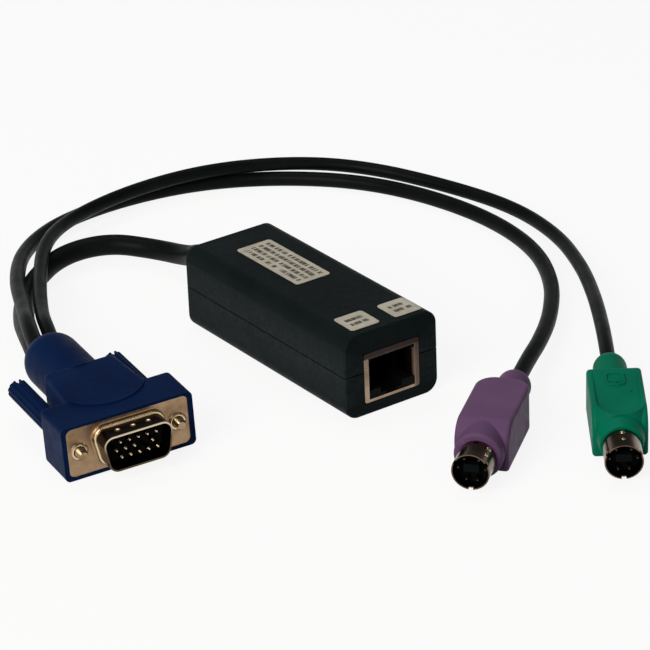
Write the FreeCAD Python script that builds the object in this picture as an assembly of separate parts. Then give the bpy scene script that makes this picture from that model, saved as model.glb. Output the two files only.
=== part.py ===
import FreeCAD, Part
import math
import os
from FreeCAD import Placement, Rotation, Vector

# KVM dongle: a small two-shell housing with a modular network jack in its front end.  A trunk cord
# leaves the back of the housing for a video plug, and a keyboard cord and a mouse cord leave the
# video plug for their own round plugs.
#
# Frame: millimetres, +Z up.  The origin is under the middle of the housing, on the surface that it
# stands on.  The housing's length runs along Y and its jack faces -Y.  Every plug is modelled facing
# -Y with the middle of its front at the origin, and is then placed where it lies.

# ---- housing -----------------------------------------------------------------------------------
HOUSING_LENGTH = 67.7
HOUSING_WIDTH = 27.1
HOUSING_HEIGHT = 21.65
HOUSING_EDGE_RADIUS = 3.55
HOUSING_END_RADIUS = 0.5
SIDE_WALL = 1.6
END_WALL = 1.8
SEAM_HEIGHT = 11.3
SEAM_GAP = 0.35
LIP_THICKNESS = 0.7
LIP_RISE = 1.2
SLIDE_CLEARANCE = 0.1

# ---- network jack ------------------------------------------------------------------------------
JACK_WIDTH = 16.1
JACK_HEIGHT = 12.9
JACK_DEPTH = 21.4
JACK_BASE_HEIGHT = 3.1
JACK_GAP = 0.2
JACK_RIB_THICKNESS = 1.2
JACK_RIB_SPACING = 10.0
SHIELD_SHEET = 0.3
SHIELD_OPENING_WIDTH = 13.4
SHIELD_TOP_STRIP = 1.5
SHIELD_BOTTOM_STRIP = 0.7
SPRING_LENGTH = 7.0
SPRING_INSET = 0.9
SPRING_BASE_GAP = 2.2
PLUG_CAVITY_WIDTH = 11.7
PLUG_CAVITY_HEIGHT = 8.0
PLUG_CAVITY_DEPTH = 13.5
PLUG_CAVITY_TOP_GAP = 0.5
LATCH_NOTCH_WIDTH = 6.3
LATCH_NOTCH_DEPTH = 1.5
LATCH_SLOT_WIDTH = 3.4
LATCH_SLOT_DEPTH = 0.7
CONTACT_COUNT = 8
CONTACT_PITCH = 1.02
CONTACT_WIDTH = 0.45
CONTACT_THICKNESS = 0.3
CONTACT_REACH = 9.0
CONTACT_DROP = 3.2

# ---- circuit board and what it carries ---------------------------------------------------------
BOARD_THICKNESS = 1.6
BOARD_SIDE_GAP = 0.35
BOARD_BACK_GAP = 6.5
SCREW_SIDE_SETBACK = 4.95
SCREW_FRONT_GAP = 6.0
SCREW_BACK_SETBACK = 10.8
SCREW_RADIUS = 1.0
SCREW_HEAD_RADIUS = 1.9
SCREW_HEAD_THICKNESS = 1.3
SCREW_FIT = 0.1
COUNTERBORE_DEPTH = 2.4
BOSS_RADIUS = 2.7
CONTROLLER_SIZE = (12.0, 12.0, 1.5)
VIDEO_CHIP_SIZE = (8.6, 5.0, 1.6)
CHIP_LEG_WIDTH = 0.4
CHIP_LEG_REACH = 1.0
CHIP_LEG_PITCH = 1.27
CRYSTAL_LENGTH = 8.0
CRYSTAL_WIDTH = 3.6
CRYSTAL_HEIGHT = 3.6
CAPACITOR_RADIUS = 2.5
CAPACITOR_HEIGHT = 5.4
CAPACITOR_GAP = 0.5
# Where each stands: a share of the board's half width, and of the room from the jack to the header.
CONTROLLER_SHARE = (0.26, 0.42)
VIDEO_CHIP_SHARE = (-0.47, 0.83)
CRYSTAL_SHARE = (-0.62, 0.51)
CAPACITOR_SHARE = (0.48, 0.82)
HEADER_SIZE = (8.8, 4.0, 5.0)
HEADER_BACK_GAP = 1.0
WIRE_RADIUS = 0.45
WIRE_COUNT = 6
WIRE_PITCH = 1.5
WIRE_RISE = 1.4

# ---- cable grommet -----------------------------------------------------------------------------
GROMMET_RADIUS = 4.6
GROMMET_FLANGE_RADIUS = 5.8
GROMMET_FLANGE_THICKNESS = 1.4
GROMMET_REACH = 3.0
GROMMET_NOSE_RADIUS = 3.8

# ---- labels on the top, each (centre x, setback from the front, width, length, turn) ---------------
LABEL_THICKNESS = 0.12
LABEL_CORNER_RADIUS = 0.9
LABELS = {
    "label_main": (0.6, 45.15, 10.1, 26.3, 0.0),
    "label_left": (-5.1, 6.55, 8.2, 8.0, -0.8),
    "label_right": (7.2, 6.05, 8.2, 8.0, -0.5),
}

# ---- video plug --------------------------------------------------------------------------------
HOOD_WIDTH = 33.4
HOOD_HEIGHT = 14.0
HOOD_BLOCK_DEPTH = 12.2
HOOD_RIM = 0.3
HOOD_EDGE_RADIUS = 1.3
NECK_FRONT_WIDTH = 20.6
NECK_REAR_WIDTH = 18.4
NECK_REAR = 27.4
NECK_EDGE_RADIUS = 1.6
GRIP_PAD_RISE = 0.35
GRIP_PAD_SETBACK = 4.6
RELIEF_RADIUS = 7.2
RELIEF_REACH = 43.0
RELIEF_END_RADIUS = 6.4
PLATE_WIDTH = 30.9
PLATE_HEIGHT = 12.5
PLATE_THICKNESS = 0.9
PLATE_CORNER_RADIUS = 1.5
POCKET_GAP = 0.05
D_WIDTH = 18.2
D_HEIGHT = 9.3
D_SLANT = 10.0
D_CORNER_RADIUS = 2.5
D_REACH = 6.1
D_WALL = 0.45
D_STEP_GROW = 0.45
D_STEP_RISE = 1.2
D_STEP_EDGE = 0.35
D_ROOT_RADIUS = 0.45
D_DIMPLE_RADIUS = 1.5
D_DIMPLE_DEPTH = 0.25
D_DIMPLE_PITCH = 3.9
D_DIMPLE_SETBACK = 3.4
BACK_SHELL_DEPTH = 6.5
INSULATOR_FACE = 0.6
VIDEO_PIN_RADIUS = 0.42
VIDEO_PIN_REACH = 4.9
VIDEO_PIN_PITCH = 2.29
VIDEO_ROW_PITCH = 1.98
VIDEO_PIN_GAP = 0.02
VIDEO_KEYED_PIN = 3
SCREW_SPACING = 25.0
JACKSCREW_RADIUS = 1.4
JACKSCREW_REACH = 2.6
JACKSCREW_SHAFT_RADIUS = 1.1
PLATE_HOLE_RADIUS = 2.1
HOOD_HOLE_RADIUS = 1.75
KNOB_RADIUS = 2.6
KNOB_LENGTH = 24.0
KNOB_GAP = 0.25
KNOB_GROOVES = 12
KNOB_GROOVE_RADIUS = 0.35
KNOB_SLOT_WIDTH = 1.1
KNOB_SLOT_DEPTH = 1.6
KNOB_SCALLOP_GAP = 0.35
KNOB_BORE_GAP = 0.02
VIDEO_PLUG_PLACE = (-65.3, -19.67, 7.8)
VIDEO_PLUG_TURN = (-8.1, 0.7, -2.5)

# ---- round keyboard and mouse plugs ------------------------------------------------------------
ROUND_SHELL_RADIUS = 4.5
ROUND_SHELL_WALL = 0.3
ROUND_SHELL_LENGTH = 14.0
ROUND_NOTCH_WIDTH = 1.1
ROUND_NOTCH_DEPTH = 1.0
ROUND_WINDOW = 1.1
ROUND_WINDOW_SETBACK = 5.4
ROUND_INSULATOR_SETBACK = 3.6
ROUND_KEY_WIDTH = 3.6
ROUND_KEY_HEIGHT = 1.9
ROUND_KEY_RISE = 0.5
ROUND_KEY_SETBACK = 1.0
ROUND_PIN_RADIUS = 0.5
ROUND_PIN_SETBACK = 1.3
ROUND_PIN_PLACES = ((-1.7, 2.5), (1.7, 2.5), (-3.2, 0.2), (3.2, 0.2), (-1.3, -2.6), (1.3, -2.6))
ROUND_PIN_GAP = 0.02
COLLAR_RISE = 0.3
COLLAR_SETBACK = 7.0
COLLAR_EDGE_SHARE = 0.6
GRIP_WIDTH = 12.9
GRIP_TOP = 6.5
GRIP_BASE = -4.95
GRIP_FRONT = 10.3
GRIP_NOSE_RADIUS = 5.4
GRIP_EDGE_RADIUS = 0.9
CROWN_MARGIN = 0.35
CROWN_DROP = 4.8
CROWN_SPREAD = 2.0
SCOOP_DEPTH = 0.9
SCOOP_RIM = 0.9
STUB_RADIUS = 4.1
STUB_FACE_MARGIN = 0.4
KEYBOARD_GRIP_REAR = 36.0
KEYBOARD_GRIP_CORNER = 4.6
KEYBOARD_STUB_REACH = 43.8
KEYBOARD_COLLAR = (5.75, 5.9, 8.7)
KEYBOARD_PLUG_PLACE = (-12.45, -80.35, 5.55)
KEYBOARD_PLUG_TURN = (-51.3, 0.0, 0.0)
MOUSE_GRIP_REAR = 31.8
MOUSE_GRIP_CORNER = 1.0
MOUSE_STUB_REACH = 41.8
MOUSE_COLLAR = (5.0, 6.15, 5.3)
MOUSE_PLUG_PLACE = (18.0, -98.1, 5.12)
MOUSE_PLUG_TURN = (-35.2, 3.7, 0.0)

# ---- cords -------------------------------------------------------------------------------------
TRUNK_DIAMETER = 5.4
KEYBOARD_CORD_DIAMETER = 4.0
MOUSE_CORD_DIAMETER = 3.6
CORD_ARC_SHARE = 0.45
RELIEF_FACE_TURN = (-12.0, 7.0, 0.0)
TRUNK_EXIT = (-2.8, -2.4)
KEYBOARD_EXIT = (-3.4, 2.5)
MOUSE_EXIT = (1.1, 1.4)

# Points that each cord's route turns at, between the straight starts at its two ends.
TRUNK_ROUTE = [
    (3, 57.5, 6), (1, 71.5, 3.9), (-7.5, 81, 4.9), (-20.5, 83.5, 4.3), (-33, 77, 2.75),
    (-41.5, 67, 3.2), (-49, 55, 4.5), (-54, 44, 6.5),
]
KEYBOARD_ROUTE = [
    (-51.5, 49.5, 10.4), (-40.5, 72.5, 7.4), (-27, 91.5, 4.7), (-9, 104, 3),
    (14, 107.5, 2.3), (36.5, 103.5, 2.1), (55.5, 92, 2.05), (70, 75.5, 2.3),
    (78.5, 55.5, 2.2), (82, 32.5, 2.1), (78.5, 10, 2.5), (68.5, -9.5, 3.2),
    (55, -25.5, 4.1), (43, -36.5, 5),
]
MOUSE_ROUTE = [
    (-49, 45.5, 10.3), (-38.5, 64, 8.7), (-24, 86, 8), (-7.5, 98.5, 6.3),
    (15.5, 103.5, 6.2), (38.5, 101, 6.4), (60, 91.5, 5.6), (75.5, 79, 3.8),
    (86.5, 58, 2.2), (91.5, 35.5, 2.1), (88, 12.5, 2.9), (78, -9.5, 4.7), (67.5, -27, 6.5),
    (58.5, -40.5, 7.9),
]
TRUNK_STARTS = (11.0, 9.0)
BRANCH_STARTS = (10.0, 10.0)

KEYBOARD_BRANCH = {
    "name": "keyboard",
    "place": (KEYBOARD_PLUG_PLACE, KEYBOARD_PLUG_TURN),
    "grip": (KEYBOARD_GRIP_REAR, KEYBOARD_GRIP_CORNER, KEYBOARD_STUB_REACH, KEYBOARD_COLLAR, False),
    "exit": KEYBOARD_EXIT,
    "route": KEYBOARD_ROUTE,
    "diameter": KEYBOARD_CORD_DIAMETER,
}
MOUSE_BRANCH = {
    "name": "mouse",
    "place": (MOUSE_PLUG_PLACE, MOUSE_PLUG_TURN),
    "grip": (MOUSE_GRIP_REAR, MOUSE_GRIP_CORNER, MOUSE_STUB_REACH, MOUSE_COLLAR, True),
    "exit": MOUSE_EXIT,
    "route": MOUSE_ROUTE,
    "diameter": MOUSE_CORD_DIAMETER,
}

# ---- every contact pin ---------------------------------------------------------------------------
PIN_NOSE_SHARE = 0.45

# ---- places that follow from the sizes -----------------------------------------------------------
FRONT_Y = -HOUSING_LENGTH / 2
BACK_Y = HOUSING_LENGTH / 2
JACK_TOP = JACK_BASE_HEIGHT + JACK_HEIGHT
JACK_BACK_Y = FRONT_Y + JACK_DEPTH
BOARD_UNDERSIDE = JACK_TOP
BOARD_TOP = BOARD_UNDERSIDE + BOARD_THICKNESS
CEILING = HOUSING_HEIGHT - SIDE_WALL
BOARD_BACK_Y = BACK_Y - END_WALL - BOARD_BACK_GAP
BOARD_HALF_WIDTH = HOUSING_WIDTH / 2 - SIDE_WALL - BOARD_SIDE_GAP
HEADER_FRONT_Y = BOARD_BACK_Y - HEADER_BACK_GAP - HEADER_SIZE[1]
SCREW_SIDE = HOUSING_WIDTH / 2 - SCREW_SIDE_SETBACK
SCREW_PLACES = (
    (-SCREW_SIDE, JACK_BACK_Y + SCREW_FRONT_GAP),
    (SCREW_SIDE, BACK_Y - SCREW_BACK_SETBACK),
)
RELIEF_AXIS_RISE = 0.5
RELIEF_FACE_REACH = math.sqrt(RELIEF_RADIUS ** 2 - RELIEF_END_RADIUS ** 2)
D_BACK = PLATE_THICKNESS + BACK_SHELL_DEPTH

X_AXIS = Vector(1, 0, 0)
Y_AXIS = Vector(0, 1, 0)
Z_AXIS = Vector(0, 0, 1)


# ---- helpers -----------------------------------------------------------------------------------
def box(size_x, size_y, size_z, x=0.0, y=0.0, z=0.0):
    """A box centred in x on x, starting at y and at z."""
    return Part.makeBox(size_x, size_y, size_z, Vector(x - size_x / 2, y, z))


def rod(radius, length, start, direction=Y_AXIS):
    return Part.makeCylinder(radius, length, Vector(*start), direction)


def rounded_outline(width, height, radius, y=0.0, centre=(0.0, 0.0)):
    """A rounded rectangle in an XZ plane at y, as a closed wire."""
    half_w = width / 2 - radius
    half_h = height / 2 - radius
    cx, cz = centre
    edges = []
    corners = ((1, 1, 0), (-1, 1, 90), (-1, -1, 180), (1, -1, 270))
    points = []
    for sx, sz, start in corners:
        middle = Vector(cx + sx * half_w, y, cz + sz * half_h)
        arc_points = []
        for angle in (start, start + 45, start + 90):
            turn = math.radians(angle)
            arc_points.append(middle + Vector(radius * math.cos(turn), 0, radius * math.sin(turn)))
        points.append(arc_points)
    for index, arc_points in enumerate(points):
        edges.append(Part.Arc(*arc_points).toShape())
        after = points[(index + 1) % len(points)][0]
        if arc_points[2].distanceToPoint(after) > 1e-6:
            edges.append(Part.LineSegment(arc_points[2], after).toShape())
    return Part.Wire(edges)


def rounded_block(width, height, radius, y_start, length, centre=(0.0, 0.0)):
    """A rounded rectangle in XZ, extruded along +Y."""
    outline = rounded_outline(width, height, radius, y_start, centre)
    return Part.Face(outline).extrude(Vector(0, length, 0))


def polygon_prism(points, direction):
    """A prism on a polygon of (x, y, z) points, extruded along direction."""
    corners = [Vector(*point) for point in points]
    return Part.Face(Part.makePolygon(corners + corners[:1])).extrude(direction)


def contact_pin(radius, start, end, x, z):
    """A pin along Y with a bevelled nose at start, turned from its half profile."""
    outline = [
        (0, start),
        (PIN_NOSE_SHARE * radius, start),
        (radius, start + radius),
        (radius, end),
        (0, end),
        (0, start),
    ]
    profile = Part.makePolygon([Vector(across, along, 0) for across, along in outline])
    pin = Part.Face(profile).revolve(Vector(0, 0, 0), Y_AXIS, 360)
    pin.translate(Vector(x, 0, z))
    return pin


def edges_where(shape, test):
    return [edge for edge in shape.Edges if test(edge)]


def is_along(edge, axis):
    """True for a straight edge that runs along axis."""
    if edge.Curve.TypeId != "Part::GeomLine":
        return False
    run = edge.valueAt(edge.LastParameter) - edge.valueAt(edge.FirstParameter)
    return run.Length > 1e-6 and run.normalize().cross(axis).Length < 1e-4


def group(solids):
    return Part.makeCompound(solids)


def placement_of(place, turn):
    """Where a plug lies: turned about Z, then tipped about its own X and rolled about its own Y."""
    yaw, tip, roll = turn
    rotation = Rotation(Z_AXIS, yaw).multiply(Rotation(X_AXIS, tip)).multiply(Rotation(Y_AXIS, roll))
    return Placement(Vector(*place), rotation)


def placed(shape, placement):
    moved = shape.copy()
    moved.Placement = placement.multiply(shape.Placement)
    return moved


# ---- housing -----------------------------------------------------------------------------------
def housing_block(inset, end_inset, start=0.0, end=HOUSING_HEIGHT):
    """The housing's outline moved in by inset, cut off between two heights."""
    block = rounded_block(
        HOUSING_WIDTH - 2 * inset,
        HOUSING_HEIGHT - 2 * inset,
        HOUSING_EDGE_RADIUS - inset,
        FRONT_Y + end_inset,
        HOUSING_LENGTH - 2 * end_inset,
        (0.0, HOUSING_HEIGHT / 2),
    )
    slab = box(HOUSING_WIDTH, HOUSING_LENGTH, end - start, 0, FRONT_Y, start)
    return block.common(slab)


def housing_shell():
    outside = rounded_block(
        HOUSING_WIDTH, HOUSING_HEIGHT, HOUSING_EDGE_RADIUS, FRONT_Y, HOUSING_LENGTH, (0.0, HOUSING_HEIGHT / 2)
    )
    end_edges = edges_where(outside, lambda edge: not is_along(edge, Y_AXIS))
    outside = outside.makeFillet(HOUSING_END_RADIUS, end_edges)
    return outside.cut(housing_block(SIDE_WALL, END_WALL))


def seam_ring(outer_inset, inner_inset, start, end):
    """A ring that runs round the inside of the side and end walls between two heights."""
    wall_gap = END_WALL - SIDE_WALL
    outer = housing_block(outer_inset, outer_inset + wall_gap, start, end)
    inner = housing_block(inner_inset, inner_inset + wall_gap, start, end)
    return outer.cut(inner)


def jack_cutout():
    return box(
        JACK_WIDTH + 2 * JACK_GAP,
        END_WALL * 3,
        JACK_HEIGHT + 2 * JACK_GAP,
        0,
        FRONT_Y - END_WALL,
        JACK_BASE_HEIGHT - JACK_GAP,
    )


def grommet_cutout():
    return rod(GROMMET_RADIUS + SLIDE_CLEARANCE, END_WALL * 3, (0, BACK_Y - 2 * END_WALL, SEAM_HEIGHT))


def jack_rib(x):
    """A rib on the floor that the jack's shield stands on."""
    start = FRONT_Y + END_WALL / 2
    return box(
        JACK_RIB_THICKNESS,
        JACK_DEPTH - END_WALL,
        JACK_BASE_HEIGHT - SIDE_WALL / 2,
        x,
        start,
        SIDE_WALL / 2,
    )


def housing_bottom():
    floor_part = housing_shell().common(
        box(HOUSING_WIDTH, HOUSING_LENGTH, SEAM_HEIGHT - SEAM_GAP / 2, 0, FRONT_Y, 0)
    )
    root = SEAM_HEIGHT - SEAM_GAP / 2 - LIP_RISE
    lip = seam_ring(SIDE_WALL - LIP_THICKNESS, SIDE_WALL, root, SEAM_HEIGHT + LIP_RISE)
    shape = floor_part.fuse(lip)
    for x, y in SCREW_PLACES:
        shape = shape.fuse(rod(BOSS_RADIUS, BOARD_UNDERSIDE - SIDE_WALL / 2, (x, y, SIDE_WALL / 2), Z_AXIS))
    for side in (-1, 1):
        shape = shape.fuse(jack_rib(side * JACK_RIB_SPACING / 2))
    for x, y in SCREW_PLACES:
        shape = shape.cut(rod(SCREW_RADIUS + SCREW_FIT, HOUSING_HEIGHT, (x, y, 0), Z_AXIS))
        shape = shape.cut(rod(SCREW_HEAD_RADIUS + 2 * SCREW_FIT, COUNTERBORE_DEPTH, (x, y, 0), Z_AXIS))
    shape = shape.cut(jack_cutout()).cut(grommet_cutout())
    return shape.removeSplitter()


def housing_top():
    start = SEAM_HEIGHT + SEAM_GAP / 2
    roof_part = housing_shell().common(
        box(HOUSING_WIDTH, HOUSING_LENGTH, HOUSING_HEIGHT - start, 0, FRONT_Y, start)
    )
    rebate = seam_ring(
        SIDE_WALL - LIP_THICKNESS - SLIDE_CLEARANCE,
        SIDE_WALL + SLIDE_CLEARANCE,
        start,
        SEAM_HEIGHT + LIP_RISE,
    )
    shape = roof_part.cut(rebate)
    for x, y in SCREW_PLACES:
        shape = shape.fuse(rod(BOSS_RADIUS, CEILING + SIDE_WALL / 2 - BOARD_TOP, (x, y, BOARD_TOP), Z_AXIS))
    for x, y in SCREW_PLACES:
        shape = shape.cut(rod(SCREW_RADIUS + SCREW_FIT / 2, CEILING - BOARD_TOP, (x, y, BOARD_TOP), Z_AXIS))
    shape = shape.cut(jack_cutout()).cut(grommet_cutout())
    return shape.removeSplitter()


def housing_screw(place):
    x, y = place
    head_top = COUNTERBORE_DEPTH
    tip = CEILING - 0.6
    head = rod(SCREW_HEAD_RADIUS, SCREW_HEAD_THICKNESS, (x, y, head_top - SCREW_HEAD_THICKNESS), Z_AXIS)
    core = rod(SCREW_RADIUS, tip - head_top, (x, y, head_top), Z_AXIS)
    return head.fuse(core).removeSplitter()


def label(place):
    """A thin sticker that follows the top of the housing, over its rounded edge where it reaches it."""
    x, setback, width, length, turn = place
    lift = LABEL_THICKNESS
    raised = rounded_block(
        HOUSING_WIDTH + 2 * lift,
        HOUSING_HEIGHT + 2 * lift,
        HOUSING_EDGE_RADIUS + lift,
        FRONT_Y,
        HOUSING_LENGTH,
        (0.0, HOUSING_HEIGHT / 2),
    )
    block = rounded_block(
        HOUSING_WIDTH, HOUSING_HEIGHT, HOUSING_EDGE_RADIUS, FRONT_Y, HOUSING_LENGTH, (0.0, HOUSING_HEIGHT / 2)
    )
    sheet = raised.cut(block)
    stamp = box(width, length, 2 * HOUSING_EDGE_RADIUS, 0, -length / 2, 0)
    stamp = stamp.makeFillet(LABEL_CORNER_RADIUS, edges_where(stamp, lambda edge: is_along(edge, Z_AXIS)))
    stamp.Placement = Placement(
        Vector(x, FRONT_Y + setback, HOUSING_HEIGHT - HOUSING_EDGE_RADIUS), Rotation(Z_AXIS, turn)
    )
    return sheet.common(stamp)


def cable_grommet():
    """A moulded collar that both shells clamp, with its flange inside and its nose outside."""
    flange_back = BACK_Y - END_WALL
    flange = rod(
        GROMMET_FLANGE_RADIUS,
        GROMMET_FLANGE_THICKNESS,
        (0, flange_back - GROMMET_FLANGE_THICKNESS, SEAM_HEIGHT),
    )
    neck = rod(GROMMET_RADIUS, END_WALL, (0, flange_back, SEAM_HEIGHT))
    nose_start = Vector(0, BACK_Y, SEAM_HEIGHT)
    nose = Part.makeCone(GROMMET_RADIUS, GROMMET_NOSE_RADIUS, GROMMET_REACH, nose_start, Y_AXIS)
    return flange.fuse(neck).fuse(nose).removeSplitter()


# ---- network jack ------------------------------------------------------------------------------
def jack_shield():
    """A folded tin box: a picture-frame front, four walls, and two spring fingers bent inwards."""
    outer = box(JACK_WIDTH, JACK_DEPTH, JACK_HEIGHT, 0, FRONT_Y, JACK_BASE_HEIGHT)
    upright = edges_where(outer, lambda edge: is_along(edge, Y_AXIS))
    outer = outer.makeFillet(2 * SHIELD_SHEET, upright)
    inner = box(
        JACK_WIDTH - 2 * SHIELD_SHEET,
        JACK_DEPTH,
        JACK_HEIGHT - 2 * SHIELD_SHEET,
        0,
        FRONT_Y + SHIELD_SHEET,
        JACK_BASE_HEIGHT + SHIELD_SHEET,
    )
    opening = box(
        SHIELD_OPENING_WIDTH,
        SHIELD_SHEET * 3,
        JACK_HEIGHT - SHIELD_TOP_STRIP - SHIELD_BOTTOM_STRIP,
        0,
        FRONT_Y - SHIELD_SHEET,
        JACK_BASE_HEIGHT + SHIELD_BOTTOM_STRIP,
    )
    tail_slot = box(
        CONTACT_PITCH * CONTACT_COUNT + 2 * CONTACT_WIDTH,
        CONTACT_REACH,
        3 * SHIELD_SHEET,
        0,
        JACK_BACK_Y - CONTACT_REACH,
        JACK_TOP - 2 * SHIELD_SHEET,
    )
    shape = outer.cut(inner).cut(opening).cut(tail_slot)
    for side in (-1, 1):
        shape = shape.fuse(spring_finger(side))
    return shape.removeSplitter()


def spring_finger(side):
    """A strip folded back from the side of the front opening, bowed into the cavity."""
    edge_x = side * SHIELD_OPENING_WIDTH / 2
    bow_x = edge_x - side * SPRING_INSET
    low = JACK_BASE_HEIGHT + SHIELD_BOTTOM_STRIP + SPRING_BASE_GAP
    high = JACK_TOP - SHIELD_TOP_STRIP - SPRING_BASE_GAP / 2
    sheet = side * SHIELD_SHEET
    y0 = FRONT_Y
    y1 = FRONT_Y + SPRING_LENGTH * 0.3
    y2 = FRONT_Y + SPRING_LENGTH
    outline = [
        (edge_x, y0, low),
        (bow_x, y1, low),
        (edge_x, y2, low),
        (edge_x + sheet, y2, low),
        (bow_x + sheet, y1, low),
        (edge_x + sheet, y0 + SHIELD_SHEET, low),
        (edge_x + sheet, y0, low),
    ]
    return polygon_prism(outline, Vector(0, 0, high - low))


def plug_cavity():
    """The space that a network plug goes into, with the notch for its latch below it."""
    cavity_top = JACK_TOP - SHIELD_TOP_STRIP - PLUG_CAVITY_TOP_GAP
    cavity_base = cavity_top - PLUG_CAVITY_HEIGHT
    start = FRONT_Y - SHIELD_SHEET
    depth = PLUG_CAVITY_DEPTH + SHIELD_SHEET
    space = box(PLUG_CAVITY_WIDTH, depth, PLUG_CAVITY_HEIGHT, 0, start, cavity_base)
    notch = box(LATCH_NOTCH_WIDTH, depth, LATCH_NOTCH_DEPTH, 0, start, cavity_base - LATCH_NOTCH_DEPTH)
    slot_base = cavity_base - LATCH_NOTCH_DEPTH - LATCH_SLOT_DEPTH
    slot = box(LATCH_SLOT_WIDTH, depth, LATCH_SLOT_DEPTH, 0, start, slot_base)
    return space.fuse(notch).fuse(slot)


def jack_insert():
    """The black moulding inside the shield, relieved at the front for the spring fingers."""
    block = box(
        JACK_WIDTH - 2 * SHIELD_SHEET,
        JACK_DEPTH - SHIELD_SHEET,
        JACK_HEIGHT - 2 * SHIELD_SHEET,
        0,
        FRONT_Y + SHIELD_SHEET,
        JACK_BASE_HEIGHT + SHIELD_SHEET,
    )
    shape = block.cut(plug_cavity())
    relief_low = JACK_BASE_HEIGHT + SHIELD_BOTTOM_STRIP + SPRING_BASE_GAP - SLIDE_CLEARANCE
    relief_high = JACK_TOP - SHIELD_TOP_STRIP - SPRING_BASE_GAP / 2 + SLIDE_CLEARANCE
    relief_width = SHIELD_OPENING_WIDTH + 2 * SHIELD_SHEET + 2 * SLIDE_CLEARANCE
    shape = shape.cut(
        box(
            relief_width,
            SPRING_LENGTH + SLIDE_CLEARANCE,
            relief_high - relief_low,
            0,
            FRONT_Y,
            relief_low,
        )
    )
    for x in contact_places():
        shape = shape.cut(contact(x, SLIDE_CLEARANCE / 2))
    return shape.removeSplitter()


def contact_places():
    first = -CONTACT_PITCH * (CONTACT_COUNT - 1) / 2
    return [first + CONTACT_PITCH * index for index in range(CONTACT_COUNT)]


def contact(x, grow=0.0):
    """A spring wire: down from the board, forward along the roof, and back down into the cavity."""
    cavity_top = JACK_TOP - SHIELD_TOP_STRIP - PLUG_CAVITY_TOP_GAP
    roof = cavity_top + CONTACT_THICKNESS
    thick = CONTACT_THICKNESS
    front = FRONT_Y + PLUG_CAVITY_DEPTH - CONTACT_REACH
    tail = FRONT_Y + PLUG_CAVITY_DEPTH + thick
    tip_y = front + CONTACT_REACH * 0.8
    tip_z = cavity_top - CONTACT_DROP
    outline = [
        (tail - grow, BOARD_UNDERSIDE + grow),
        (tail - grow, roof + grow),
        (front - grow, roof + grow),
        (front - grow, roof - thick - grow),
        (tip_y, tip_z - grow),
        (tip_y + thick + grow, tip_z + thick * 0.4),
        (front + 2.2 * thick + grow, roof - thick - grow),
        (tail + thick + grow, roof - thick - grow),
        (tail + thick + grow, BOARD_UNDERSIDE + grow),
    ]
    width = CONTACT_WIDTH + 2 * grow
    points = [(x - width / 2, y, z) for y, z in outline]
    return polygon_prism(points, Vector(width, 0, 0))


def jack_contacts():
    return group([contact(x) for x in contact_places()])


# ---- circuit board and what it carries ---------------------------------------------------------
def circuit_board():
    start = FRONT_Y + END_WALL + BOARD_SIDE_GAP
    shape = box(2 * BOARD_HALF_WIDTH, BOARD_BACK_Y - start, BOARD_THICKNESS, 0, start, BOARD_UNDERSIDE)
    for x, y in SCREW_PLACES:
        shape = shape.cut(rod(SCREW_RADIUS + SCREW_FIT, BOARD_THICKNESS, (x, y, BOARD_UNDERSIDE), Z_AXIS))
    return shape


def board_place(share):
    """A place on the board: a share of its half width, and of the room from the jack to the header."""
    return share[0] * BOARD_HALF_WIDTH, JACK_BACK_Y + share[1] * (HEADER_FRONT_Y - JACK_BACK_Y)


def leg_row(body_edge, direction, count, pitch, along, z):
    """Gull-wing legs on one side of a chip, as boxes from the chip's side down to the board."""
    legs = []
    for index in range(count):
        offset = along + (index - (count - 1) / 2) * pitch
        if direction in (-1, 1):
            centre_x = body_edge + direction * CHIP_LEG_REACH / 2
            legs.append(box(CHIP_LEG_REACH, CHIP_LEG_WIDTH, CHIP_LEG_WIDTH, centre_x, offset, z))
        else:
            y = body_edge if direction == 2 else body_edge - CHIP_LEG_REACH
            legs.append(box(CHIP_LEG_WIDTH, CHIP_LEG_REACH, CHIP_LEG_WIDTH, offset, y, z))
    return legs


def controller_chip():
    """A square chip on the underside of the board, with legs on all four sides."""
    size_x, size_y, size_z = CONTROLLER_SIZE
    x, y = board_place(CONTROLLER_SHARE)
    leg_z = BOARD_UNDERSIDE - CHIP_LEG_WIDTH
    body = box(size_x, size_y, size_z, x, y - size_y / 2, BOARD_UNDERSIDE - size_z)
    count = int(size_x / CHIP_LEG_PITCH) - 1
    legs = leg_row(x + size_x / 2, 1, count, CHIP_LEG_PITCH, y, leg_z)
    legs += leg_row(x - size_x / 2, -1, count, CHIP_LEG_PITCH, y, leg_z)
    legs += leg_row(y + size_y / 2, 2, count, CHIP_LEG_PITCH, x, leg_z)
    legs += leg_row(y - size_y / 2, -2, count, CHIP_LEG_PITCH, x, leg_z)
    return body.multiFuse(legs).removeSplitter()


def video_chip():
    """A small driver chip with legs on two sides."""
    size_x, size_y, size_z = VIDEO_CHIP_SIZE
    x, y = board_place(VIDEO_CHIP_SHARE)
    leg_z = BOARD_UNDERSIDE - CHIP_LEG_WIDTH
    body = box(size_x, size_y, size_z, x, y - size_y / 2, BOARD_UNDERSIDE - size_z)
    count = int(size_x / CHIP_LEG_PITCH)
    legs = leg_row(y + size_y / 2, 2, count, CHIP_LEG_PITCH, x, leg_z)
    legs += leg_row(y - size_y / 2, -2, count, CHIP_LEG_PITCH, x, leg_z)
    return body.multiFuse(legs).removeSplitter()


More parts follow.
